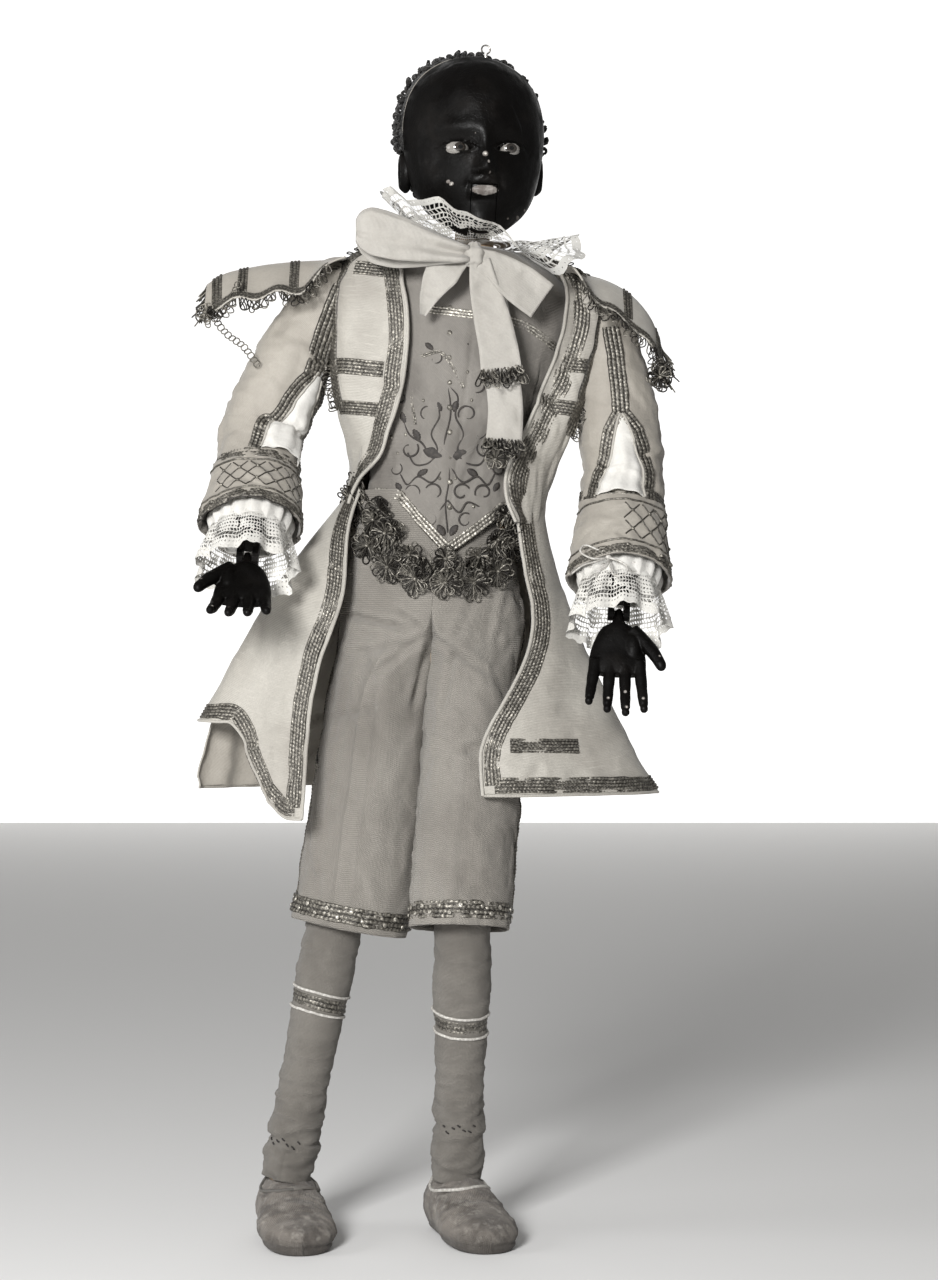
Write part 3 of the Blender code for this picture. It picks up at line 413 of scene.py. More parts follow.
class Shader:
    """A material's nodes, added one at a time."""

    def __init__(self, name):
        self.material = bpy.data.materials.new(name)
        self.material.use_nodes = True
        self.tree = self.material.node_tree
        self.surface = self.tree.nodes["Principled BSDF"]

    def give(self, node, name, value):
        socket = node.inputs[name]
        if isinstance(value, bpy.types.NodeSocket):
            self.tree.links.new(value, socket)
        elif isinstance(value, tuple) and len(value) == 3 and socket.type == "RGBA":
            socket.default_value = (*value, 1)
        else:
            socket.default_value = value

    def add(self, kind, output=0, settings=None, **inputs):
        node = self.tree.nodes.new("ShaderNode" + kind)
        for key, value in (settings or {}).items():
            setattr(node, key, value)
        for key, value in inputs.items():
            name = int(key[1:]) if key[0] == "_" else key.replace("_", " ")
            self.give(node, name, value)
        return node.outputs[output]

    def place(self):
        """Where a point is, in metres."""
        return self.add("NewGeometry")

    def uv(self):
        return self.add("UVMap", settings={"uv_map": "cloth"})

    def noise(self, scale, detail=3.0, at=None, roughness=0.55):
        return self.add("TexNoise", Scale=scale, Detail=detail, Roughness=roughness,
                        Vector=at or self.place())

    def maths(self, operation, a, b=0.0, c=0.0):
        return self.add("Math", settings={"operation": operation}, _0=a, _1=b, _2=c)

    def steps(self, value, low, high, out_low=0.0, out_high=1.0):
        """A value brought from one range to another, and held inside it."""
        return self.add(
            "MapRange",
            settings={"interpolation_type": "SMOOTHSTEP"},
            Value=value,
            From_Min=low,
            From_Max=high,
            To_Min=out_low,
            To_Max=out_high,
        )

    def mix(self, share, first, second):
        node = self.tree.nodes.new("ShaderNodeMix")
        node.data_type = "RGBA"
        for index, value in ((0, share), (6, first), (7, second)):
            self.give(node, index, value)
        return node.outputs[2]

    def stripes(self, pitch, axis, at=None, wobble=0.0):
        """Fine ridges across U (0) or V (1), that far apart in millimetres."""
        split = self.tree.nodes.new("ShaderNodeSeparateXYZ")
        self.give(split, 0, at or self.uv())
        value = split.outputs[axis]
        if wobble:
            value = self.maths("ADD", value, self.maths("MULTIPLY", self.noise(260.0, 1.0), wobble / 1000))
        return self.maths("SINE", self.maths("MULTIPLY", value, TAU * 1000 / pitch))

    def height(self, value, depth, after=None):
        node = self.tree.nodes.new("ShaderNodeBump")
        node.inputs["Distance"].default_value = depth / 1000
        node.inputs["Strength"].default_value = 1.0
        self.tree.links.new(value, node.inputs["Height"])
        if after is not None:
            self.tree.links.new(after, node.inputs["Normal"])
        return node.outputs[0]

    def finish(self, colour, roughness, normal=None, metallic=0.0, sheen=0.0, coat=0.0):
        shader = self.surface
        self.give(shader, "Base Color", colour)
        self.give(shader, "Roughness", roughness)
        self.give(shader, "Metallic", metallic)
        shader.inputs["Sheen Weight"].default_value = sheen
        shader.inputs["Sheen Roughness"].default_value = 0.4
        shader.inputs["Coat Weight"].default_value = coat
        if normal is not None:
            self.tree.links.new(normal, shader.inputs["Normal"])
        return self.material


def woven(name, colour, dark, warp, weft, depth, roughness, sheen, blotch=(26.0, 0.35), rib_groove_shade=0.0, slub=0.0):
    """Cloth: threads across both ways, soft stains, lighter worn patches, and painted shade in the grooves of
    ribbed cloth.
    """
    s = Shader(name)
    across = s.stripes(warp, 0, wobble=0.25)
    down = s.stripes(weft, 1, wobble=0.35)
    threads = s.maths("ADD", s.maths("MULTIPLY", across, 0.5), down)
    stain = s.steps(s.noise(blotch[0], 4.0), 0.38, 0.68)
    fine = s.steps(s.noise(900.0, 2.0), 0.3, 0.75)
    base = s.mix(s.maths("MULTIPLY", stain, blotch[1]), colour, dark)
    base = s.mix(s.maths("MULTIPLY", fine, 0.28), base, tuple(c * 0.72 for c in colour))
    if rib_groove_shade:
        # painted shade: the grooves between the ribs are darkened, by the share this setting gives
        groove = s.steps(down, -1.0, 0.4, rib_groove_shade, 0.0)
        base = s.mix(groove, base, tuple(c * 0.45 for c in colour))
    if slub:
        long = s.add("Mapping", Vector=s.uv(), Scale=(60.0, 900.0, 1.0))
        streak = s.steps(s.noise(1.0, 2.0, at=long), 0.55, 0.8, 0.0, slub)
        base = s.mix(streak, base, tuple(min(1.0, c * 1.35) for c in colour))
    crumple = s.height(s.noise(140.0, 3.0), 0.5)
    normal = s.height(threads, depth, crumple)
    return s.finish(base, s.steps(stain, 0, 1, roughness, min(1.0, roughness + 0.12)), normal, sheen=sheen)


def make_thread(name, bright, dark, roughness=0.4, metallic=0.6, scale=700.0):
    """Twisted thread, with painted shade where it lies deep and painted glints along it."""
    s = Shader(name)
    relief = s.add("Attribute", output=2, settings={"attribute_name": "relief"})
    # painted glints: random bright specks on the thread that stand in for highlights
    painted_glint = s.steps(s.noise(scale, 2.0), 0.42, 0.66)
    tone = s.mix(painted_glint, tuple((a + 2 * b) / 3 for a, b in zip(bright, dark)), bright)
    # painted shade: the thread is darkened where its relief value says it lies deep
    base = s.mix(s.steps(relief, 0.15, 0.85), dark, tone)
    normal = s.height(s.noise(1600.0, 2.0), 0.25)
    return s.finish(base, roughness, normal, metallic=metallic)


def make_paint(name, colour, scuffed, chip, roughness=0.42):
    """Old paint on carved wood: fine crackle, rubbed lighter patches, and a few chips to the pale ground."""
    s = Shader(name)
    relief = s.add("Attribute", output=2, settings={"attribute_name": "relief"})
    rubbed = s.steps(s.noise(55.0, 5.0), 0.48, 0.75, 0.0, 0.55)
    base = s.mix(rubbed, colour, scuffed)
    lip = s.steps(relief, 0.55, 0.72)
    lip_tone = s.mix(s.steps(s.noise(300.0, 4.0), 0.4, 0.7), (0.12, 0.105, 0.095), (0.30, 0.28, 0.26))
    base = s.mix(s.maths("MULTIPLY", lip, 0.95), base, lip_tone)
    ragged = s.maths("ADD", relief, s.maths("MULTIPLY", s.noise(520.0, 4.0), 0.55))
    chipped = s.steps(ragged, 1.16, 1.22)
    base = s.mix(chipped, base, chip)
    crackle = s.add("TexVoronoi", settings={"feature": "DISTANCE_TO_EDGE"}, Scale=420.0, Vector=s.place())
    crackle = s.steps(crackle, 0.0, 0.05)
    normal = s.height(s.noise(240.0, 4.0), 0.18, s.height(crackle, 0.03))
    rough = s.steps(s.noise(90.0, 4.0), 0.35, 0.7, roughness - 0.08, roughness + 0.22)
    s.surface.inputs["Specular IOR Level"].default_value = 0.10
    return s.finish(base, rough, normal)


def make_hair():
    s = Shader("hair")
    strand = s.add("TexWave", settings={"bands_direction": "Z"}, Scale=500.0, Distortion=6.0,
                   Vector=s.place())
    base = s.mix(s.steps(s.noise(420.0, 3.0), 0.4, 0.7), (0.0045, 0.004, 0.0035), (0.020, 0.017, 0.014))
    return s.finish(base, 0.62, s.height(strand, 0.3), sheen=0.15)


def make_eye():
    """Glass, with pupil, iris and white ringed about the gaze by the relief value."""
    s = Shader("eye_glass")
    relief = s.add("Attribute", output=2, settings={"attribute_name": "relief"})
    white = s.mix(s.noise(300.0, 2.0), (0.14, 0.13, 0.12), (0.27, 0.255, 0.235))
    iris = s.mix(s.noise(1500.0, 2.0), (0.010, 0.008, 0.007), (0.042, 0.036, 0.030))
    base = s.mix(s.steps(relief, 0.28, 0.31), iris, white)
    base = s.mix(s.steps(relief, 0.12, 0.14), (0.004, 0.004, 0.004), base)
    rim = s.maths("SUBTRACT", 1.0,
                  s.steps(s.maths("ABSOLUTE", s.maths("SUBTRACT", relief, 0.29)), 0.0, 0.035))
    base = s.mix(s.maths("MULTIPLY", rim, 0.8), base, (0.02, 0.017, 0.015))
    return s.finish(base, 0.12, s.height(s.noise(300.0, 2.0), 0.02), coat=0.6)


def make_wood():
    s = Shader("bare_wood")
    grain = s.add("TexWave", settings={"bands_direction": "X"}, Scale=26.0, Distortion=5.0, Detail=3.0,
                  Vector=s.place())
    base = s.mix(grain, (0.30, 0.21, 0.13), (0.47, 0.35, 0.23))
    base = s.mix(s.steps(s.noise(60.0, 4.0), 0.5, 0.8, 0.0, 0.5), base, (0.17, 0.12, 0.08))
    return s.finish(base, 0.68, s.height(s.noise(500.0, 3.0), 0.15))


def make_steel():
    s = Shader("steel_wire")
    rust = s.steps(s.noise(500.0, 4.0), 0.5, 0.72)
    base = s.mix(rust, (0.33, 0.32, 0.30), (0.10, 0.07, 0.05))
    return s.finish(base, s.steps(rust, 0, 1, 0.32, 0.75), s.height(s.noise(900.0, 2.0), 0.04), metallic=0.9)


def make_shoe():
    """Cloth shoes with a rubbed, darkened toe and painted shade along the sole within 12 mm of the floor."""
    s = Shader("shoe_cloth")
    split = s.tree.nodes.new("ShaderNodeSeparateXYZ")
    s.give(split, 0, s.place())
    floor_z = float(to_row((0, 0, 0))[2])
    # painted shade: the cloth is darkened within 12 mm above the floor, where the shoe meets it
    low = s.steps(split.outputs[2], floor_z + 0.001, floor_z + 0.012, 0.85, 0.0)
    worn = s.steps(s.noise(70.0, 6.0, roughness=0.65), 0.42, 0.62)
    scuff = s.steps(s.noise(210.0, 5.0, roughness=0.7), 0.50, 0.66)
    base = s.mix(worn, (0.17, 0.152, 0.133), (0.085, 0.074, 0.064))
    base = s.mix(s.maths("MULTIPLY", scuff, 0.6), base, (0.29, 0.27, 0.24))
    # the painted shade near the floor
    base = s.mix(low, base, (0.035, 0.03, 0.026))
    threads = s.maths("ADD", s.stripes(0.9, 0, wobble=0.3), s.stripes(0.9, 1, wobble=0.3))
    normal = s.height(threads, 0.07, s.height(s.noise(180.0, 5.0), 0.5))
    return s.finish(base, 0.82, normal, sheen=0.08)


MATERIAL = {
    "coat_silk": woven("coat_silk", (0.39, 0.37, 0.33), (0.215, 0.195, 0.17), 0.55, 0.8, 0.05, 0.50, 0.25,
                       blotch=(24.0, 0.55), slub=0.35),
    "lining_silk": woven("lining_silk", (0.33, 0.305, 0.265), (0.2, 0.18, 0.155), 0.5, 0.7, 0.04, 0.6, 0.2),
    "waistcoat_silk": woven("waistcoat_silk", (0.19, 0.176, 0.157), (0.095, 0.086, 0.076), 0.6, 0.75, 0.06,
                            0.55, 0.2, blotch=(34.0, 0.6), slub=0.3),
    "cuff_silk": woven("cuff_silk", (0.215, 0.20, 0.178), (0.115, 0.104, 0.092), 0.6, 0.75, 0.06, 0.55, 0.2,
                       blotch=(40.0, 0.6), slub=0.3),
    "ribbon_silk": woven("ribbon_silk", (0.40, 0.38, 0.345), (0.28, 0.26, 0.23), 0.45, 0.62, 0.05, 0.45, 0.3,
                         blotch=(30.0, 0.35), rib_groove_shade=0.25),
    "shirt_linen": woven("shirt_linen", (0.66, 0.645, 0.61), (0.46, 0.44, 0.40), 0.5, 0.5, 0.05, 0.85, 0.1),
    "lace": woven("lace", (0.74, 0.725, 0.68), (0.52, 0.495, 0.45), 0.35, 0.35, 0.06, 0.88, 0.1),
    "ribbed_cloth": woven("ribbed_cloth", (0.285, 0.265, 0.235), (0.155, 0.14, 0.122), 0.7, 1.0, 0.16, 0.85,
                          0.12, blotch=(18.0, 0.55), rib_groove_shade=0.42),
    "stocking_knit": woven("stocking_knit", (0.20, 0.185, 0.163), (0.115, 0.104, 0.09), 0.75, 0.65, 0.14,
                           0.9, 0.1, blotch=(38.0, 0.6), rib_groove_shade=0.22),
    "braid": make_thread("braid", (0.31, 0.29, 0.25), (0.014, 0.012, 0.010)),
    "pale_braid": make_thread("pale_braid", (0.62, 0.59, 0.52), (0.05, 0.043, 0.036)),
    "dark_thread": make_thread("dark_thread", (0.045, 0.038, 0.032), (0.012, 0.010, 0.009), 0.7, 0.0),
    "white_thread": make_thread("white_thread", (0.60, 0.585, 0.55), (0.30, 0.28, 0.25), 0.85, 0.0),
    "face_paint": make_paint("face_paint", (0.0022, 0.0019, 0.0017), (0.0095, 0.0080, 0.0070),
                             (0.50, 0.48, 0.44)),
    "hair": make_hair(),
    "eye_glass": make_eye(),
    "bare_wood": make_wood(),
    "steel_wire": make_steel(),
    "shoe_cloth": make_shoe(),
}

# ---------------------------------------------------------------- head

# above the nod pin: height, shift of the centre, half width, half depth
SKULL = ((-18.2, -21, 0.3, 0.3), (-17.4, -21, 5, 5.5), (-14.5, -20, 11.5, 11), (-11, -17.2, 16.5, 15.6),
         (-5, -12.4, 23.2, 22), (3, -7.6, 28.4, 29), (14, -5, 32.2, 35), (28, -3.5, 34.8, 38.2),
         (42, -2, 35.4, 39.4), (56, -1, 32.4, 36.6), (66, 0, 26.4, 30), (73, 1, 17.5, 20.2),
         (76.2, 1, 9.4, 10.8), (77.2, 1, 0.3, 0.3))
# heights on the face are counted from a level below the nod pin
FACE_LEVEL = -4.4
EYE_AT, EYE_HEIGHT = 12.9, 29.8
LIP_TOP = 11.0
SLOT_HALF = 6.7
HAIRLINE = math.radians(4.0)
CHIPS = ((-0.6, 25.5, 1.3), (0.8, 21.5, 0.7), (-16.6, 13.4, 0.8), (-15.2, 12.2, 0.9), (19.5, -2.6, 0.9),
         (23.5, 1.6, 0.7), (-5.2, 36.5, 0.4), (13.6, -4.0, 0.5), (1.8, 16.6, 0.5))


def skull_profile(count, proud=0.0):
    return along(np.asarray(SKULL) + np.array((0, 0, proud, proud)), count=count)


def skull_grid(rows, columns, front_share=0.42):
    """A head blank with its columns closer together over the face."""
    z, shift, half_width, half_depth = skull_profile(rows).T[:, :, None]
    turn = np.arange(columns) * TAU / columns
    turn = (turn - front_share * np.sin(turn))[None]
    square = 1 + 0.02 * np.cos(4 * turn)
    return np.stack([half_width * np.sin(turn) * square, shift - half_depth * np.cos(turn) * square,
                     z + 0 * turn], -1)


def carve_face(grid):
    """Brows, sockets, lids, nose, lips, cheeks and chin, as moves along the surface and straight ahead."""
    x, y, z = grid[..., 0], grid[..., 1], grid[..., 2] - FACE_LEVEL
    front = smooth(-y, 4, 22)
    out = normals(grid, wrap=True)
    ahead = np.zeros(grid.shape)
    ahead[..., 1] = -1.0
    raised = np.zeros(x.shape)
    pushed = np.zeros(x.shape)
    relief = np.full(x.shape, 0.3)

    for sign in SIGN.values():
        dx = (x - sign * EYE_AT) / 6.3
        tilt = z - EYE_HEIGHT - 0.5 * sign * dx
        lid = np.where(tilt > 0, 2.1, 1.7)
        span = (np.abs(dx) ** 1.7 + np.abs(tilt / lid) ** 1.7) ** (1 / 1.7)
        raised -= 2.3 * bump(np.hypot(x - sign * 11.2, (z - 31.2) * 1.15), 8.2)
        raised += 1.5 * bump(np.hypot((x - sign * 13) * 0.5, z - 39.5), 4.2)
        pushed -= 6.5 * (1 - smooth(span, 0.84, 1.04))
        raised += np.where(tilt > 0, 0.85, 0.55) * bump(span - 1.17, 0.17)
        raised -= np.where(tilt > 0, 0.55, 0.2) * bump(span - 1.62, 0.16)
        raised += 1.9 * bump(np.hypot(x - sign * 19, (z - 13) * 1.1), 9.5)
        # wings of the nose and its openings
        pushed += 2.5 * bump(np.hypot(x - sign * 3.7, (z - 18.0) * 1.05), 2.3)
        pushed -= 1.3 * bump(np.hypot((x - sign * 2.1), (z - 15.9) * 1.3), 1.2)
        # folds from the nose to the corners of the mouth
        raised -= 0.5 * bump((x - sign * (6.5 + (17 - z) * 0.35)), 1.5) * bump(z - 13, 4)
        raised -= 0.7 * bump(np.hypot(x - sign * 8.2, z - LIP_TOP - 0.2), 1.7)

    ridge = table(((13.5, 0), (15.6, 2.2), (17.5, 4.9), (20.5, 5.9), (24, 4.3), (30, 2.3), (37, 1.0),
                   (44, 0)), z)
    width = table(((13.5, 3.2), (18, 3.5), (20.5, 3.7), (27, 2.9), (34, 3.0), (44, 4.0)), z)
    pushed += ridge * bump(x, width)
    # lips: a bow above the split, a full block below it
    bow = 1 - (x / 8.6) ** 2
    upper = np.clip(bow, 0, 1) * bump(z - LIP_TOP - 2.1 - 0.35 * bump(np.abs(x) - 2.2, 1.2), 1.6)
    lower = np.clip(bow, 0, 1) ** 0.7 * bump(z - LIP_TOP + 3.0, 2.6)
    pushed += 1.7 * upper + 2.0 * lower
    pushed += 0.9 * bump(np.hypot(x * 0.6, z - 11), 9)
    pushed -= 0.5 * bump(x, 1.1) * bump(z - 15.2, 1.6)
    pushed -= 1.1 * bump(z - 4.0, 1.7) * bump(x, 6.5)
    pushed += 2.2 * bump(np.hypot(x * 0.8, z + 6.5), 6.0)
    raised += 0.25 * waves(grid, 30, 5)
    pushed -= 0.5 * bump(z - LIP_TOP, 0.35) * np.clip(bow, 0, 1)

    lip = smooth(1 - (x / 7.9) ** 2 - ((z - LIP_TOP + 2.4) / (3.0 - 0.02 * x * x)) ** 2, 0.0, 0.3)
    lip = lip * (1 - smooth(z, LIP_TOP - 0.3, LIP_TOP + 0.6))
    relief = relief + 0.45 * lip * front
    for chip_x, chip_z, size in CHIPS:
        spot = bump(np.hypot(x - chip_x, z - chip_z), size * 1.15)
        relief = np.maximum(relief, front * (0.3 + 0.72 * spot))
    moved_grid = grid + out * (raised * front)[..., None] + ahead * (pushed * front)[..., None]
    return moved_grid, relief


def weld(mesh, distance=1e-5, closed=True):
    shape = bmesh.new()
    shape.from_mesh(mesh)
    bmesh.ops.remove_doubles(shape, verts=shape.verts, dist=distance)
    bmesh.ops.dissolve_degenerate(shape, edges=shape.edges, dist=distance / 10)
    if closed:
        bmesh.ops.holes_fill(shape, edges=[e for e in shape.edges if e.is_boundary], sides=0)
    bmesh.ops.recalc_face_normals(shape, faces=shape.faces)
    shape.to_mesh(mesh)
    shape.free()
    return mesh


def helper(name, place, outline=None, half=0.0, low=None, high=None):
    """A closed cutter: an outline in Y and Z drawn out across X, or a box."""
    if outline is None:
        outline = ((low[1], low[2]), (high[1], low[2]), (high[1], high[2]), (low[1], high[2]))
        ends = (low[0], high[0])
    else:
        ends = (-half, half)
    shape = bmesh.new()
    rings = []
    for x in ends:
        rings.append([shape.verts.new(to_row(put(place, (x, y, z)))) for y, z in outline])
    shape.faces.new(rings[0])
    shape.faces.new(rings[1][::-1])
    count = len(outline)
    for index in range(count):
        after = (index + 1) % count
        shape.faces.new((rings[0][index], rings[1][index], rings[1][after], rings[0][after]))
    bmesh.ops.recalc_face_normals(shape, faces=shape.faces)
    mesh = bpy.data.meshes.new(name)
    shape.to_mesh(mesh)
    shape.free()
    made = bpy.data.objects.new(name, mesh)
    bpy.context.scene.collection.objects.link(made)
    return made


def ear(parts, sign):
    """An ear with a rolled rim, a bowl and a lobe."""
    rows, columns = 26, 36
    up = np.linspace(-math.pi / 2 + 0.03, math.pi / 2 - 0.03, rows)[:, None]
    turn = (np.arange(columns) * TAU / columns)[None]
    shape = np.stack([np.cos(up) * np.cos(turn), np.cos(up) * np.sin(turn), np.sin(up) + 0 * turn], -1)
    egg = 1 - 0.16 * np.clip(-shape[..., 2], 0, 1)
    local = shape * np.array((4.0, 7.6, 10.8))
    local[..., 1] *= egg
    outer = smooth(sign * shape[..., 0], 0.05, 0.6)
    radius = np.hypot(local[..., 1] / 7.6, local[..., 2] / 10.8)
    local[..., 0] -= sign * outer * (2.6 * bump(np.hypot(radius, 0), 0.5) - 0.9 * bump(radius - 0.74, 0.16))
    parts.grid(put(HEAD, local + np.array((sign * 33.6, 6, 19))), wrap=True, flip=True,
               relief=np.full(radius.shape, 0.3))


def make_head():
    grid, relief = carve_face(skull_grid(210, 300))
    skin = Parts()
    skin.grid(put(HEAD, grid), wrap=True, relief=relief)
    paint = MATERIAL["face_paint"]
    head = new_object("painted_head", weld(skin.mesh("painted_head")), paint)
    jaw = new_object("painted_jaw", head.data.copy(), paint)
    mouth = LIP_TOP + FACE_LEVEL + 0.4
    outline = ((-60, -30), (18, -30), (18, 24), (-31, 24), (-31, mouth), (-60, mouth))
    slot = helper("slot", HEAD, outline, SLOT_HALF)
    chin = helper("chin", HEAD, low=(-SLOT_HALF + 0.4, -60, -30), high=(SLOT_HALF - 0.4, -29.3, mouth - 0.4))
    applied(head, ("BOOLEAN", {"object": slot, "operation": "DIFFERENCE", "solver": "EXACT"}))
    applied(jaw, ("BOOLEAN", {"object": chin, "operation": "INTERSECT", "solver": "EXACT"}))
    for used in (slot, chin):
        bpy.data.objects.remove(used, do_unlink=True)
    for made, body, node in ((head, "head", "head"), (jaw, "jaw", "jaw")):
        made.data.set_sharp_from_angle(angle=math.radians(50))
        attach(made, body)
        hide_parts(node)

    ears = Parts()
    for sign in SIGN.values():
        ear(ears, sign)
    piece("ears", ears, paint, "head")

    lever = Parts()
    for low, high in (((-5.6, -29.5, 1), (5.6, -23, 19)), ((-2.9, -25, 13), (2.9, 11.5, 19))):
        rounded_block(lever, HEAD, low, high)
    piece("jaw_lever", lever, MATERIAL["bare_wood"], "jaw")
    for side in SIGN:
        make_eyeball(side)


def rounded_block(parts, place, low, high, rows=12):
    """A bar with softened edges, along Y."""
    low, high = np.asarray(low, float), np.asarray(high, float)
    half, middle = (high - low) / 2, (high + low) / 2
    share = np.linspace(-1, 1, rows)
    end = np.clip(1 - np.abs(share) ** 14, 0.0, 1) ** 0.5
    turn = np.arange(24) * TAU / 24
    square = 1 / np.maximum(np.abs(np.cos(turn)), np.abs(np.sin(turn)))
    square = np.minimum(square, 1.3)
    x = middle[0] + half[0] * end[:, None] * (np.cos(turn) * square)[None]
    z = middle[2] + half[2] * end[:, None] * (np.sin(turn) * square)[None]
    y = middle[1] + half[1] * share[:, None] + 0 * x
    parts.grid(put(place, np.stack([x, y, z], -1)), wrap=True)


def make_eyeball(side):
    """A glass eye that looks a little to the figure's left."""
    sign = SIGN[side]
    gaze = unit(np.array((0.16, -1.0, 0.02)))
    centre = np.array((sign * EYE_AT, -31.3, EYE_HEIGHT + FACE_LEVEL))
    rows = np.concatenate([np.linspace(0.01, 0.75, 30), np.linspace(0.85, 2.4, 12)])[:, None]
    turn = (np.arange(40) * TAU / 40)[None]
    first = unit(np.cross(gaze, Z_AXIS))
    second = np.cross(gaze, first)
    sweep = np.cos(turn)[..., None] * first + np.sin(turn)[..., None] * second
    ball = np.cos(rows)[..., None] * gaze + np.sin(rows)[..., None] * sweep
    away = np.where(rows < 1.5, 6.4 * np.sin(rows), 6.4) / 10 + 0 * turn
    ball[..., 2] *= 0.80
    parts = Parts()
    parts.grid(put(HEAD, centre + 6.4 * ball), wrap=True, relief=away, flip=True)
    piece(f"{side}_eyeball", parts, MATERIAL["eye_glass"], "head", replaces=[f"{side}_eye"])


def behind_hairline(points):
    """True where the wig covers the skull, in the head's own frame."""
    c, s = math.cos(HAIRLINE), math.sin(HAIRLINE)
    back = (points[..., 1] + 4) * c - (points[..., 2] - 14) * s - 0.22 * np.maximum(points[..., 0], 0)
    ears_clear = (points[..., 1] > 14) | (points[..., 2] > 30.5)
    return (back > 0) & ears_clear & (points[..., 2] > 4)


def make_wig():
    """A cap of tight curls, with the edge of its tape along the hairline."""
    grid = skull_grid(120, 150, 0.0)
    out = normals(grid, wrap=True)
    lumpy = grid + out * (1.5 + 0.5 * waves(grid, 6, 41))[..., None]
    # columns start at the face, so the covered part of each row is one stretch round the back
    back = lumpy[:, 32:119]
    covered = behind_hairline(back)
    sunk = np.where(covered[..., None], back, grid[:, 32:119] - out[:, 32:119] * 0.8)
    wig = Parts()
    wig.grid(put(HEAD, sunk), relief=np.full(sunk.shape[:2], 0.2))

    draw = np.random.default_rng(11)
    spots = grid.reshape(-1, 3)
    outward = out.reshape(-1, 3)
    order = draw.permutation(len(spots))
    chosen = []
    for index in order:
        spot = spots[index]
        if not behind_hairline(spot):
            continue
        if chosen and min(np.linalg.norm(spots[chosen] - spot, axis=1)) < 3.6:
            continue
        chosen.append(index)
    for index in chosen:
        spot, up = spots[index], outward[index]
        swirl = np.linspace(0, TAU * 1.6, 15)
        lean = unit(up * draw.uniform(0.2, 1.0) + unit(draw.normal(size=3)) * 0.8)
        first = unit(np.cross(lean, draw.normal(size=3)))
        second = np.cross(lean, first)
        reach = draw.uniform(1.7, 2.5) * np.linspace(1.0, 0.5, 15)
        rise = np.linspace(-0.7, 0.9, 15)
        centre = spot + up * draw.uniform(1.6, 2.2 + 2.0 * abs(up[0]))
        curl = centre + (reach * np.cos(swirl))[:, None] * first + (reach * np.sin(swirl))[:, None] * second
        curl = curl + rise[:, None] * lean
        wig.tube(put(HEAD, curl), np.linspace(1.05, 0.55, 15), sides=5, relief=0.4)
    piece("wig_curls", wig, MATERIAL["hair"], "head", replaces=["wig"])

    # the tape: where the hairline plane meets the skull
    c, s = math.cos(HAIRLINE), math.sin(HAIRLINE)
    z, shift, half_width, half_depth = skull_profile(160).T
    edge = []
    for height, middle, wide, deep in zip(z, shift, half_width, half_depth):
        y = (height - 14) * s / c - 4
        share = (y - middle) / deep
        if height > 31 and abs(share) < 1:
            edge.append((wide * math.sqrt(1 - share * share) + 0.4, y, height))
    edge = np.array(edge)
    left = edge * np.array((-1, 1, 1))
    tape = Parts()
    path = along(np.concatenate([edge, left[::-1]]), step=1.2)
    strip(tape, HEAD, path, path - np.array((0, 5, 28)), 1.8, 0.35)
    piece("wig_tape", tape, MATERIAL["lining_silk"], "head")


def strip(parts, place, path, outward, width, height, relief=0.5):
    """A flat tape along a path, with its edges turned down."""
    tangent = unit(np.gradient(path, axis=0))
    outward = unit(outward - (outward * tangent).sum(-1, keepdims=True) * tangent)
    across = np.cross(tangent, outward)
    columns = []
    for share, lift in ((-0.5, -0.2), (-0.47, height), (0.0, height * 1.15), (0.47, height), (0.5, -0.2)):
        columns.append(path + across * share * width + outward * lift)
    grid = np.stack(columns, axis=1)
    parts.grid(put(place, grid), relief=np.full(grid.shape[:2], relief), flip=True)


# ---------------------------------------------------------------- hands

FINGERS = (19.0, 23.0, 24.5, 22.0)


def remeshed(name, parts, material, voxel, rounds):
    made = new_object(name, weld(parts.mesh(name), 1e-6), material)
    applied(made, ("REMESH", {"mode": "VOXEL", "voxel_size": voxel / 1000, "use_smooth_shade": True}))
    applied(made, ("SMOOTH", {"iterations": rounds, "factor": 0.6}))
    if not made.data.materials:
        made.data.materials.append(material)
    return made


def set_relief(made, place, worth):
    """Writes the paint's relief value from each vertex's place in a frame."""
    count = len(made.data.vertices)
    points = np.zeros(count * 3, np.float32)
    made.data.vertices.foreach_get("co", points)
    points = points.reshape(-1, 3) * 1000.0 - HIPS_IN_ROW + HIPS
    attribute = made.data.attributes.get("relief") or made.data.attributes.new("relief", "FLOAT", "POINT")
    attribute.data.foreach_set("value", worth(unput(place, points)).astype(np.float32))


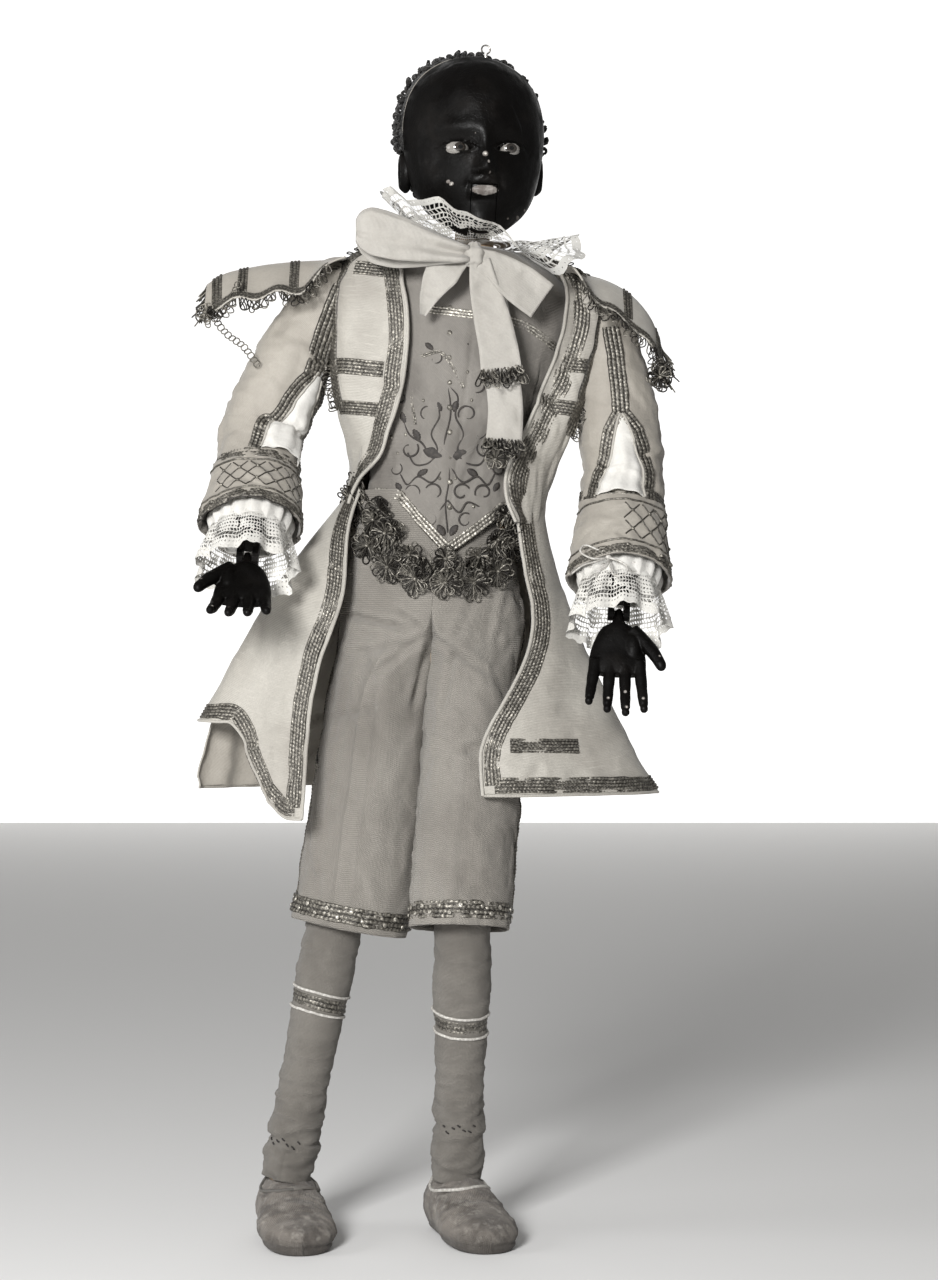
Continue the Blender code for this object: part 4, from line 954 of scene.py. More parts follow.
def make_hand(side):
    """An open carved hand: palm, four tapered fingers with round tips, and the thumb held out."""
    sign = SIGN[side]
    curl = 0.55 if side == "right" else 0.10
    hand = Parts()
    sections = ((0.8, 1.9, 3.2), (-6, 3.4, 3.2), (-9, 8.0, 4.4), (-16, 11.6, 5.4), (-24, 13.8, 5.2),
                (-31, 14.2, 4.4), (-35, 13.0, 3.2))
    rows = along(sections, count=22)
    turn = np.arange(28) * TAU / 28
    palm = np.stack([rows[:, 1:2] * np.cos(turn), rows[:, 2:3] * np.sin(turn), rows[:, :1] + 0 * turn], -1)
    hollow = 1.3 * bump(np.hypot(palm[..., 0] * 0.8, palm[..., 2] + 22), 8) * (palm[..., 1] < 0)
    palm[..., 1] += hollow
    hand.grid(put(HAND[side], palm), wrap=True)
    hand.ball((sign * 7.5, -2.6, -19), (4.2, 3.2, 8), HAND[side])
    tips = []
    for index, length in enumerate(FINGERS):
        root = -sign * (10.9 - 7.2 * index)
        fan = root * 0.25
        share = np.linspace(0, 1, 12)
        bend = curl * share ** 2
        x = root + fan * share
        y = -0.8 - length * 0.55 * bend - 1.2 * share
        z = -28 - (length + 5) * share * (1 - 0.25 * curl * share)
        radius = 3.25 - 0.95 * share + 0.22 * bump(share - 0.42, 0.09) + 0.18 * bump(share - 0.73, 0.07)
        radius[-1] *= 0.55
        finger = np.stack([x, y, z], -1)
        hand.tube(put(HAND[side], finger), radius, sides=12)
        hand.ball(finger[-1], (2.1, 2.1, 2.3), HAND[side])
        tips.append(finger[-2])
    share = np.linspace(0, 1, 10)[:, None]
    thumb = np.array((sign * 7.0, -1.5, -11)) + share * np.array((sign * 14.2, -4.2, -20.5))
    thumb[:, 0] += sign * 1.6 * np.sin(share[:, 0] * math.pi)
    radius = 4.0 - 1.2 * share[:, 0] + 0.2 * bump(share[:, 0] - 0.6, 0.1)
    hand.tube(put(HAND[side], thumb), radius, sides=12)
    hand.ball(thumb[-1], (2.6, 2.5, 2.9), HAND[side])
    made = remeshed(f"{side}_carved_hand", hand, MATERIAL["face_paint"], 0.5, 3)
    draw = np.random.default_rng(7 if side == "left" else 8)
    chips = []
    for tip in tips[1:]:
        chips.append((tip + np.array((draw.uniform(-0.8, 0.8), -2.0, draw.uniform(-1.5, 3.0))), 0.9))
    chips.append((tips[2] + np.array((-0.4, -2.2, 8.0)), 1.15))
    chips.append((thumb[-2] + np.array((0, -2.2, 2.0)), 0.8))

    def worth(points):
        value = np.full(len(points), 0.3)
        for centre, size in chips:
            value = np.maximum(value, 0.3 + 0.70 * bump(np.linalg.norm(points - centre, axis=1), size))
        return value

    set_relief(made, HAND[side], worth)
    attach(made, f"{side}_hand")
    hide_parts(f"{side}_hand")

# ---------------------------------------------------------------- cloth, braid, fringe and lace

def cloth_piece(name, grid, material, body, thickness=0.9, replaces=(), blend=None,
                wrap=False, lining=None, flip=False, offset=0.0):
    """A sheet of cloth from a grid of points; the size it was cut to is worked out and not used."""
    parts = Parts()
    parts.grid(grid, wrap=wrap, flip=flip)
    made = new_object(name, parts.mesh(name), material)
    settings = dict(thick(thickness, offset)[1])
    if lining:
        made.data.materials.append(lining)
        settings["material_offset"] = 1
    applied(made, ("SOLIDIFY", settings))
    if blend:
        first, second, start, end = blend
        tuple(to_row(start))
        tuple(to_row(end))
        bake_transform(made)
    else:
        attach(made, body)
    if replaces:
        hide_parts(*replaces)
    flat, area = cut_size(grid, wrap)
    return made


def cut_size(grid, wrap=False):
    """The rectangle that a panel is cut from, and the panel's own area, in metres."""
    loop = np.concatenate([grid, grid[:, :1]], axis=1) if wrap else grid
    width = np.linalg.norm(np.diff(loop, axis=1), axis=2).sum(axis=1).max() / 1000
    length = np.linalg.norm(np.diff(loop, axis=0), axis=2).sum(axis=0).max() / 1000
    across, down = np.diff(loop, axis=1)[:-1], np.diff(loop, axis=0)[:, :-1]
    area = np.linalg.norm(np.cross(across, down), axis=2).sum() / 1e6
    return (round(width, 4), round(length, 4)), round(min(area, width * length), 6)


def on_surface(surface, u, v, reach=0.004):
    """Points and outward directions on a panel, at shares across and down it."""
    u, v = np.broadcast_arrays(np.asarray(u, float), np.asarray(v, float))
    across = surface(u + reach, v) - surface(u - reach, v)
    down = surface(u, v + reach) - surface(u, v - reach)
    return surface(u, v), unit(np.cross(across, down)), across / (2 * reach), down / (2 * reach)


def inset(surface, u, v, across=0.0, down=0.0):
    """Points and outward directions a number of millimetres in from places on a panel."""
    u, v = np.broadcast_arrays(np.asarray(u, float), np.asarray(v, float))
    _, _, du, dv = on_surface(surface, u, v)
    u = u + across / np.linalg.norm(du, axis=-1)
    v = v + down / np.linalg.norm(dv, axis=-1)
    point, out, _, _ = on_surface(surface, u, v)
    return point, out


def braid(parts, path, outward, width=8.0, rows=5, pitch=1.9, lift=1.1, step=0.6):
    """Metal braid: rows of chain stitch side by side along a path on cloth."""
    both = along(np.hstack([path, unit(outward)]), step=step)
    path, outward = both[:, :3], both[:, 3:]
    tangent = unit(np.gradient(path, axis=0))
    outward = unit(outward - (outward * tangent).sum(-1, keepdims=True) * tangent)
    across = np.cross(tangent, outward)
    reach = np.concatenate([[0], np.cumsum(np.linalg.norm(np.diff(path, axis=0), axis=1))])
    share = np.linspace(-0.5, 0.5, rows * 5 + 1)
    place = (share + 0.5) * rows
    row = np.minimum(np.floor(place), rows - 1)
    off = np.abs(place - row - 0.5) * 2
    ridge = np.sqrt(np.clip(1 - 0.96 * off ** 2, 0, 1))
    stitch = 0.74 + 0.26 * np.cos(TAU * reach[:, None] / pitch - 2.4 * off[None] + row[None] * 2.1)
    high = ridge[None] * stitch
    lifted = lift * (0.30 + 0.70 * high)
    lifted[:, 0] = lifted[:, -1] = -0.3
    ragged = 1 + 0.03 * waves(np.stack([reach, 0 * reach], -1), 9, rows)[:, None]
    sideways = across[:, None] * (share[None] * width * ragged)[..., None]
    grid = path[:, None] + sideways + outward[:, None] * lifted[..., None]
    # relief is low in the gaps between rows and stitches, which the thread material darkens as painted shade
    parts.grid(grid, relief=high, flip=True)


def piping(parts, path, outward, radius=0.8, lift=0.5):
    path = along(np.asarray(path) + unit(outward) * lift, step=1.2)
    parts.tube(path, radius, sides=6, relief=0.8)


def loops(parts, path, outward, down, length=7.0, spacing=2.2, radius=0.34, seed=1, puff=1.5):
    """A fringe of twisted thread loops along an edge."""
    draw = np.random.default_rng(seed)
    both = along(np.hstack([path, unit(outward), unit(down)]), step=spacing)
    turn = np.linspace(0, 1, 13)
    for index in range(len(both)):
        start, out, hang = both[index, :3], unit(both[index, 3:6]), unit(both[index, 6:])
        reach = length * draw.uniform(0.7, 1.15)
        wide = draw.uniform(1.1, 2.1)
        lean = draw.normal(size=2) * 0.35
        side = unit(np.cross(out, hang))
        axis = unit(hang + side * lean[0] + out * lean[1])
        swing = np.sin(turn * math.pi)
        loop = start + axis * (reach * swing ** 0.8)[:, None]
        loop = loop + side * (wide * np.sin(turn * TAU))[:, None]
        loop = loop + out * (puff * swing * draw.uniform(0.2, 1.1))[:, None]
        loop = loop + draw.normal(size=3) * 0.2
        parts.tube(loop, radius, sides=5, across=out, relief=0.12 + 0.83 * draw.random() ** 1.3)


def rosette(parts, centre, outward, radius=7.0, count=13, seed=1, thread=0.4):
    """Loops of thread that spring out from one point, in two layers."""
    draw = np.random.default_rng(seed)
    outward = unit(outward)
    first = unit(np.cross(outward, Z_AXIS + 0.01))
    second = np.cross(outward, first)
    turn = np.linspace(0, 1, 12)
    for index in range(count):
        angle = TAU * (index + draw.uniform(-0.3, 0.3)) / count
        away = first * math.cos(angle) + second * math.sin(angle)
        side = np.cross(outward, away)
        reach = radius * draw.uniform(0.65, 1.1)
        wide = draw.uniform(1.2, 2.2)
        lift = draw.uniform(0.5, 2.8)
        swing = np.sin(turn * math.pi)
        loop = centre + away * (reach * swing ** 0.7)[:, None] + side * (wide * np.sin(turn * TAU))[:, None]
        loop = loop + outward * (lift * swing + 0.5)[:, None]
        parts.tube(loop, thread, sides=5, across=outward, relief=0.12 + 0.83 * draw.random() ** 1.3)
    parts.ball(centre + outward * 1.6, (1.3, 1.3, 1.0), rows=5, columns=7, relief=0.8)


def lace_net(parts, grid, openness, wrap=False):
    """Bobbin lace: every cell of a grid has a hole, and openness from 0 to 0.85 gives its size."""
    after = np.roll(grid, -1, axis=1) if wrap else grid[:, 1:]
    here = grid if wrap else grid[:, :-1]
    corners = np.stack([here[:-1], after[:-1], after[1:], here[1:]], axis=2)
    cells = corners.reshape(-1, 4, 3)
    middle = cells.mean(axis=1, keepdims=True)
    hole = np.asarray(openness, float).reshape(-1, 1, 1)
    inner = middle + (cells - middle) * hole
    for side_index in range(4):
        other = (side_index + 1) % 4
        quad = np.stack([cells[:, side_index], cells[:, other], inner[:, other], inner[:, side_index]],
                        axis=1)
        add_quads(parts, quad)
    solid = (hole[:, 0, 0] < 0.05)
    add_quads(parts, inner[solid])


def add_quads(parts, quads):
    count = len(quads)
    if not count:
        return
    index = np.arange(count * 4).reshape(count, 4) + parts.count
    parts.quads.append(index)
    parts.points.append(quads.reshape(-1, 3))
    flat = quads.reshape(-1, 3)
    parts.uvs.append(np.stack([flat[:, 0], flat[:, 2]], axis=-1) / 1000)
    parts.relief.append(np.full(count * 4, 0.5))
    parts.count += count * 4


def lace_pattern(rows, columns, seed, border=4):
    """Clothwork leaves and dots on an open ground, with a close edging."""
    down = np.arange(rows)[:, None]
    over = np.arange(columns)[None]
    hole = np.full((rows, columns), 0.68)
    wave = np.sin(over * TAU / 16.0) * 2.2 + rows * 0.55
    hole = np.where(np.abs(down - wave) < 1.0, 0.34, hole)
    leaf = np.hypot((over % 16 - 8) / 3.2, (down - rows * 0.38) / 2.3)
    hole = np.where(leaf < 1.0, 0.42, hole)
    hole = np.where(np.abs(leaf - 1.25) < 0.22, 0.84, hole)
    hole = np.where(down > rows - border, 0.30, hole)
    hole = np.where(down > rows - 2, 0.12, hole)
    hole = np.where((down == rows - border - 1) & (over % 2 == 0), 0.84, hole)
    hole = np.where(down < 2, 0.2, hole)
    draw = np.random.default_rng(seed)
    return np.clip(hole + draw.normal(size=hole.shape) * 0.05, 0.0, 0.88)


def lace_piece(name, grid, seed, body, replaces=(), wrap=False, border=4):
    rows, columns = grid.shape[0] - 1, grid.shape[1] - (0 if wrap else 1)
    pattern = lace_pattern(rows, columns, seed, border)
    parts = Parts()
    lace_net(parts, grid, pattern, wrap)
    made = new_object(name, weld(parts.mesh(name), 5e-6, closed=False), MATERIAL["lace"])
    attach(made, body)
    if replaces:
        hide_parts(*replaces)
    # lace is worked as a strip of even width and gathered; the size and area it is cut to are worked out and
    # not used
    (_, deep), area = cut_size(grid, wrap)
    return made


# ---------------------------------------------------------------- coat

# chest sections above the hips: height, half width, half depth
TORSO = ((32, 36, 22), (60, 35, 21), (85, 37, 22.5), (110, 42, 25), (150, 50, 27), (172, 52.5, 26.5),
         (186, 50, 24.5), (197, 38, 21), (205, 20, 16))
COAT = ((66, 49.5, 30), (85, 48, 29.5), (110, 50.5, 31.5), (150, 56.5, 33.5), (172, 58.8, 32.5),
        (184, 58.8, 30), (192, 56, 26.5), (198, 49, 23.5), (203, 38, 20), (207, 24, 17.5))
FRONT_EDGE = {
    "right": ((66, -67), (74, -65), (81, -59), (90, -46), (108, -36), (150, -27.5), (172, -30), (184, -34),
              (192, -38), (198, -42), (203, -50), (207, -66)),
    "left": ((66, 46), (74, 40), (87, 35.5), (116, 43.5), (142, 50.5), (162, 54), (184, 54), (192, 56),
             (198, 60), (203, 68), (207, 78)),
}
# how far each front stands out beyond the side of the chest: height and distance
FRONT_FLARE = {
    "right": ((66, 0), (100, 3), (121, 8), (150, 9.5), (177, 9), (192, 5), (207, 0)),
    "left": ((66, 1), (90, 3.5), (100, 5), (126, 8), (152, 10), (177, 8.5), (192, 4), (207, 0)),
}


def section(rows, height, degrees, proud=0.0):
    """A point on a section, counted from straight ahead towards +X, in the chest's frame."""
    wide, deep = np.moveaxis(table(rows, height), -1, 0)
    angle = np.radians(degrees)
    x = (wide + proud) * np.sin(angle)
    y = -(deep + proud) * np.cos(angle)
    return np.stack([x, y, height + 0 * x], axis=-1)


def chest_front(side):
    """The coat's front from its edge (u = 0) to the side seam (u = 1), waist to shoulder."""
    def surface(u, v):
        height = 68 + (206.5 - 68) * np.asarray(v, float)
        edge = table(FRONT_EDGE[side], height)
        degrees = edge + (SIGN[side] * 90 - edge) * u
        lift = 1.6 * (1 - smooth(u, 0, 0.3)) * (1 - smooth(height, 178, 200)) + 0.5
        point = section(COAT, height, degrees, lift)
        point[..., 0] += SIGN[side] * table(FRONT_FLARE[side], height) * smooth(u, 0.0, 0.6)
        point[..., 1] -= 7.0 * smooth(u, 0.05, 0.6) * smooth(height, 95, 130) * (1 - smooth(height, 190, 207))
        fold = 1.1 * waves(point * np.array((1, 1, 0.35)), 26, 21 if side == "left" else 22)
        fold = fold * (1 - smooth(height, 180, 200))
        out = unit(point * np.array((1, 2.6, 0)))
        return put(CHEST, point + out * fold[..., None])
    return surface


def chest_back(u, v):
    """The coat's back from the figure's left seam round to its right seam."""
    height = 68 + (206.5 - 68) * np.asarray(v, float)
    point = section(COAT, height, 90 + 180 * np.asarray(u, float), 0.5)
    for side, end in (("left", 0), ("right", 1)):
        point[..., 0] += SIGN[side] * table(FRONT_FLARE[side], height) * smooth(1 - np.abs(u - end), 0.7, 1.0)
    fold = 1.0 * waves(point * np.array((1, 1, 0.35)), 30, 25) * (1 - smooth(height, 180, 200))
    crease = -1.1 * bump(point[..., 0], 1.1)
    out = unit(point * np.array((1, 2.6, 0)))
    return put(CHEST, point + out * (fold + crease)[..., None])


WAIST_Z, HEM_Z = 372.0, 226.0
WAIST_HALF, HEM_HALF = 49.0, 114.0


def skirt_point(share, degrees):
    """A point on the flared skirts at a share down from the waist."""
    angle = np.radians(degrees)
    over = np.clip(share, 0, 1.2)
    flare = np.where(np.sin(angle) < 0, np.sin(np.clip(over, 0, 1) * math.pi / 2), over ** 1.3)
    x = 3 - 11 * over + (WAIST_HALF + (HEM_HALF - WAIST_HALF) * flare) * np.sin(angle)
    y = 2 - (29 + np.where(np.cos(angle) > 0, 17, 14) * over) * np.cos(angle)
    lean = SHOULDER_LEAN * (1 - np.clip(over, 0, 1))
    return np.stack([x, y, WAIST_Z + (HEM_Z - WAIST_Z) * share - x * lean], axis=-1)


SHOULDER_LEAN = float(CHEST[0, 2])


def right_skirt(u, v):
    """The right front skirt: its front corner hangs low and the rest of its hem is kicked up."""
    u, v = np.asarray(u, float), np.asarray(v, float)
    hem = 1.09 - 0.31 * smooth(u, 0.06, 0.52)
    share = -0.02 + (hem + 0.02) * v
    front = table(((-0.05, -67), (0.1, -52), (0.31, -36), (0.57, -33.5), (0.88, -31), (1.2, -30)), share)
    degrees = front + (-95 - front) * u
    point = skirt_point(share, degrees)
    fold = 3.6 * share * np.sin(u * 8.2 + 1.0 + share) + 1.6 * share * waves(point, 38, 31)
    roll = 5.0 * smooth(v, 0.82, 1.05) * smooth(u, 0.15, 0.6)
    out = unit(point * np.array((0.6, 1.6, 0)) + np.array((4, 0, 0)))
    return point + out * (fold + roll)[..., None]


def left_skirt(u, v):
    """The left front skirt: it swings across the front of the thigh."""
    u, v = np.asarray(u, float), np.asarray(v, float)
    share = -0.02 + 1.03 * v
    front = 46 - 31 * smooth(share, 0.3, 0.9)
    degrees = front + (95 - front) * u
    point = skirt_point(share, degrees)
    fold = 1.2 + 2.4 * share * np.sin(u * 7.0 + 0.4 + 1.5 * share) * smooth(u, 0.0, 0.3)
    fold = fold + 1.2 * share * waves(point, 36, 33)
    out = unit(point * np.array((0.6, 1.6, 0)))
    return point + out * fold[..., None]


def back_skirt(u, v):
    """The back of the skirts, with deep pleats at both hips and a vent in the middle."""
    u, v = np.asarray(u, float), np.asarray(v, float)
    share = -0.02 + 1.02 * v
    degrees = 94 + 172 * u
    point = skirt_point(share, degrees)
    pleat = bump((u - 0.10), 0.05) + bump((u - 0.90), 0.05)
    fold = 4.2 * share * np.sin(u * 21 + 0.5) * (1 - pleat) - 5.0 * share * pleat
    fold = fold - 3.0 * share * bump(u - 0.5, 0.02) + 1.5 * share * waves(point, 40, 35)
    out = unit(point * np.array((0.3, 1.6, 0)))
    return point + out * fold[..., None]


def panel(surface, columns, rows):
    u, v = np.meshgrid(np.linspace(0, 1, columns), np.linspace(0, 1, rows))
    return surface(u, v)


def make_coat():
    silk, lining = MATERIAL["coat_silk"], MATERIAL["lining_silk"]
    trims = {"trunk": Parts(), "flap": Parts(), "pipe": Parts(), "pipe_flap": Parts()}
    cloth_piece("silk_coat_back", panel(chest_back, 110, 80), silk, "trunk",
                replaces=["coat_back"], lining=lining)
    cloth_piece("silk_skirt_back", panel(back_skirt, 150, 80), silk, "trunk",
                replaces=["coat_skirt_back"], lining=lining, flip=True)
    for side, skirt in (("right", right_skirt), ("left", left_skirt)):
        front = chest_front(side)
        cloth_piece(f"{side}_silk_front", panel(front, 60, 80), silk, "trunk",
                    replaces=[f"{side}_coat_front"], lining=lining, flip=side == "right")
        flap = flap_blend() if side == "left" else None
        cloth_piece(f"{side}_silk_skirt", panel(skirt, 90, 80), silk, "trunk",
                    replaces=[f"{side}_coat_skirt"], lining=lining,
                    flip=side == "left", blend=flap)
        trim_coat(side, front, skirt, trims)
    trim_back(trims["trunk"])
    piece("coat_braid", trims["trunk"], MATERIAL["braid"], "trunk")
    piece("coat_piping", trims["pipe"], silk, "trunk")
    for name, key, finish in (("flap_braid", "flap", MATERIAL["braid"]), ("flap_piping", "pipe_flap", silk)):
        piece(name, trims[key], finish, blend=flap_blend())


def flap_blend():
    """Trunk, left thigh and two points for the left front skirt, from its outer side in to its front edge;
    nothing uses them to lift the skirt.
    """
    return ("trunk", "left_thigh", (76, -20, 318), (42, -34, 262))


def trim_coat(side, front, skirt, trims):
    """Braid round every edge of a front, with short bars across the breast."""
    sign = SIGN[side]
    out_sign = 1.0 if side == "left" else -1.0
    flap = "flap" if side == "left" else "trunk"
    pipe = "pipe_flap" if side == "left" else "pipe"
    v = np.linspace(0.0, 0.985, 60)
    width = 8.6 if side == "right" else 11.5
    path, out = inset(front, 0 * v, v, across=1.4 + width / 2)
    braid(trims["trunk"], path, out * out_sign, width, rows=5 if side == "right" else 6)
    edge, _, _, _ = on_surface(front, 0 * v, v)
    piping(trims["pipe"], edge, out * out_sign, 0.95)
    v = np.linspace(0.0, 0.965, 60)
    path, out = inset(skirt, 0 * v, v, across=5.6)
    braid(trims[flap], path, -out * out_sign, 8.6)
    edge, _, _, _ = on_surface(skirt, 0 * v, np.linspace(0, 1, 60))
    piping(trims[pipe], edge, -out * out_sign, 0.95)
    u = np.linspace(0.04, 1.0, 60)
    path, out = inset(skirt, u, 1 + 0 * u, down=-5.4)
    braid(trims[flap], path, -out * out_sign, 8.4)
    edge, out, _, _ = on_surface(skirt, np.linspace(0, 1, 60), np.ones(60))
    piping(trims[pipe], edge, -out * out_sign, 0.8)
    bars = {"right": ((186, 0.30, 8.0), (136, 0.62, 8.4), (116, 0.62, 7.6)),
            "left": ((150, 0.8, 8), (128, 0.8, 8))}[side]
    for height, reach, width in bars:
        v = (height - 68) / (206.5 - 68)
        u = np.linspace(0.18, 0.18 + reach, 14)
        path, out, _, _ = on_surface(front, u, v + 0 * u)
        braid(trims["trunk"], path, out * out_sign, width)
    if side == "left":
        u = np.linspace(0.10, 0.42, 14)
        path, out, _, _ = on_surface(skirt, u, 0.83 + 0 * u)
        braid(trims[flap], path, -out * out_sign, 7.6)
    # the armhole, with a looped edge
    v = np.linspace(0.34, 0.965, 50)
    path, out = inset(front, 0.93 + 0 * v, v, across=-5.5)
    braid(trims["trunk"], path, out * out_sign, 10.0, rows=5)
    path, out = inset(front, 0.93 + 0 * v, v, across=-1.0)
    aside = np.tile((sign, -0.5, -0.3), (50, 1))
    loops(trims["trunk"], path, out * out_sign, aside, 4.5, 1.8, 0.34, seed=31)


def trim_back(trims):
    v = np.linspace(0.05, 0.98, 60)
    for share in (0.488, 0.512):
        path, out, _, _ = on_surface(back_skirt, share + 0 * v, v)
        braid(trims, path, -out, 5.0, rows=3)
    u = np.linspace(0.02, 0.98, 140)
    path, out = inset(back_skirt, u, 1 + 0 * u, down=-5.4)
    braid(trims, path, -out, 8.4)
    for low, high in ((0.03, 0.18), (0.82, 0.97)):
        u = np.linspace(low, high, 14)
        path, out, _, _ = on_surface(chest_back, u, 0.06 + 0 * u)
        braid(trims, path, out, 7.0)


def make_wings():
    """A stiffened flap over each shoulder, edged with braid and a fringe of loops."""
    profiles = {
        "right": ((-47, 495), (-60, 494.5), (-72, 494), (-96, 491.0), (-111, 487), (-118, 482.5)),
        "left": ((64, 487.5), (74, 487.0), (84, 484.5), (97, 477.0), (107, 465.0), (112, 452.0)),
    }
    for side, profile in profiles.items():
        line = along(profile, count=70)

        def surface(u, v, line=line):
            u, v = np.broadcast_arrays(np.asarray(u, float), np.asarray(v, float))
            x = np.interp(u, np.linspace(0, 1, 70), line[:, 0])
            z = np.interp(u, np.linspace(0, 1, 70), line[:, 1])
            y = -28 + 52 * v
            droop = 4.0 * ((y + 1) / 24) ** 2 * smooth(u, 0, 0.4)
            droop = droop + 13.0 * (1 - smooth(v, 0.0, 0.42)) * smooth(u, 0.02, 0.3)
            ruffle = 1.6 * np.sin(x * 0.30 + 0.7) * smooth(np.abs(v - 0.5), 0.1, 0.5)
            return np.stack([x, y, z - droop + ruffle], axis=-1)

        u, v = np.meshgrid(np.linspace(0, 1, 60), np.linspace(0, 1, 40))
        flap = cloth_piece(f"{side}_silk_wing", surface(u, v), MATERIAL["coat_silk"], "trunk",
                           replaces=[f"{side}_wing"],
                           lining=MATERIAL["lining_silk"])
        trims, threads = Parts(), Parts()
        u = np.linspace(0.12, 0.985, 50)
        v = np.linspace(0.03, 0.97, 40)
        path, out = inset(surface, u, 0 * u, down=3.2)
        braid(trims, path, out * SIGN[side], 6.2, rows=3)
        front, _ = inset(surface, u, 0 * u, down=0.4)
        loops(threads, front, np.tile((0, -1.0, 0.1), (50, 1)), np.tile((0, -0.35, -1.0), (50, 1)), 6.5,
              1.6, seed=3)
        path, out = inset(surface, 1 + 0 * v, v, across=-3.2)
        braid(trims, path, out * SIGN[side], 6.2, rows=3)
        outer = np.tile((SIGN[side], -0.1, 0.0), (40, 1))
        hang = np.tile((0.3 * SIGN[side], 0, -1.0), (40, 1))
        loops(threads, surface(1 + 0 * v, v), outer, hang, 7.5 if side == "right" else 10.0, 1.5, seed=4)
        for share in (0.36, 0.72) if side == "right" else (0.5,):
            v_bar = np.linspace(0.10, 0.95, 20)
            path, out, _, _ = on_surface(surface, share + 0 * v_bar, v_bar)
            braid(trims, path, out * SIGN[side], 5.5, rows=3)
        end = surface(np.array(0.98), np.array(0.06))
        if side == "right":
            rosette(threads, end + np.array((0, -2, -1)), (-0.3, -1, 0.1), 5.5, 12, 9)
            chain = along(((-101, -27, 480), (-106, -24, 470), (-112, -21, 463), (-107, -19, 456),
                           (-99, -19, 450), (-92, -19, 441)), step=2.6)
            for index, spot in enumerate(chain):
                turn = np.linspace(0, TAU, 10, endpoint=False)
                tilt = unit((0.1, -0.3 + index % 2, 1))
                ring = spot + 1.7 * (np.cos(turn)[:, None] * X_AXIS + np.sin(turn)[:, None] * tilt)
                threads.tube(ring, 0.32, sides=4, closed=True, relief=0.7)
        else:
            rosette(threads, end + np.array((-2, -2, -3)), (0.4, -1, 0.0), 8.0, 16, 10)
            rosette(threads, surface(np.array(0.9), np.array(0.02)) + np.array((0, -2, -8)),
                    (0.4, -1, -0.2), 7.0, 14, 12)
        edging = piece(f"{side}_wing_braid", trims, MATERIAL["braid"], "trunk")
        fringe = piece(f"{side}_wing_fringe", threads, MATERIAL["braid"], "trunk")
        # the flap is sewn to the armhole; each of its pieces is given a mesh of its own
        seam = to_row((profile[0][0], 0, profile[0][1]))
        for soft in (flap, edging, fringe):
            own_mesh(soft)


# ---------------------------------------------------------------- waistcoat

def waistcoat_proud(height):
    return table(((44, 7.0), (60, 5.4), (85, 3.4), (110, 2.7), (172, 2.6), (197, 2.4), (205, 2.0)), height)


def waistcoat_hem(degrees):
    away = np.abs(np.asarray(degrees, float) - 6) / 40
    return 47 + 25 * np.minimum(away, 1)


def waistcoat_surface(u, v):
    degrees = -76 + 152 * np.asarray(u, float)
    hem = waistcoat_hem(degrees)
    height = hem + (204 - hem) * np.asarray(v, float)
    point = section(TORSO, height, degrees, waistcoat_proud(height))
    fold = 0.8 * waves(point * np.array((1, 1, 0.5)), 22, 51) * (1 - smooth(height, 150, 190))
    # a seam down the middle and slight pull lines to the sides
    fold = fold - 0.5 * bump(degrees - 5, 0.9)
    return put(CHEST, point + unit(point * np.array((1, 1, 0))) * fold[..., None])


def breast(x, z, proud=0.0):
    """Points on the waistcoat straight behind places in the front view, and which way is out."""
    local = unput(CHEST, np.stack([np.asarray(x, float), 0 * np.asarray(x, float), np.asarray(z, float)], -1))
    wide, deep = np.moveaxis(table(TORSO, local[..., 2]), -1, 0)
    lift = waistcoat_proud(local[..., 2]) + proud
    share = np.clip(local[..., 0] / (wide + lift), -0.97, 0.97)
    local[..., 1] = -(deep + lift) * np.sqrt(1 - share ** 2)
    out = unit(np.stack([share / (wide + lift), local[..., 1] / (deep + lift) ** 2, 0 * share], -1))
    return put(CHEST, local), out @ CHEST[:3, :3].T


def stitch(parts, line, radius=0.56, lift=0.25, relief=0.7):
    """A couched thread over the waistcoat, from places in the front view."""
    line = along(np.asarray(line, float), step=0.9)
    point, _ = breast(line[:, 0], line[:, 1], lift)
    parts.tube(point, radius * (0.75 + 0.25 * np.sin(np.linspace(0, math.pi, len(point)))), sides=5,
               relief=relief)


def scroll(centre, radius, start, sweep, inward=0.55):
    """A C-shaped curl in the front view."""
    share = np.linspace(0, 1, 22)
    angle = np.radians(start + sweep * share)
    reach = radius * (1 - inward * share ** 1.5)
    return np.stack([centre[0] + reach * np.cos(angle), centre[1] + reach * np.sin(angle)], -1)


def leaf(parts, centre, length, width, degrees):
    """A satin-stitched leaf that stands a little off the cloth."""
    rows, columns = 12, 9
    along_leaf = np.linspace(-1, 1, rows)[:, None]
    across = np.linspace(-1, 1, columns)[None]
    wide = width * np.clip(1 - along_leaf ** 2, 0.01, 1) ** 0.8
    c, s = math.cos(math.radians(degrees)), math.sin(math.radians(degrees))
    a, b = along_leaf * length + 0 * across, across * wide
    point, out = breast(centre[0] + a * c - b * s, centre[1] + a * s + b * c)
    lift = 0.15 + 0.75 * (1 - across ** 2) * (1 - along_leaf ** 6) + 0.12 * np.sin(a * 5)
    # relief is high along the middle and low at the edges, so the thread material paints shade down the
    # leaf's sides
    parts.grid(point + out * lift[..., None], relief=0.35 + 0.4 * (1 - across ** 2) + 0 * a)


MIDDLE_X = 4.0


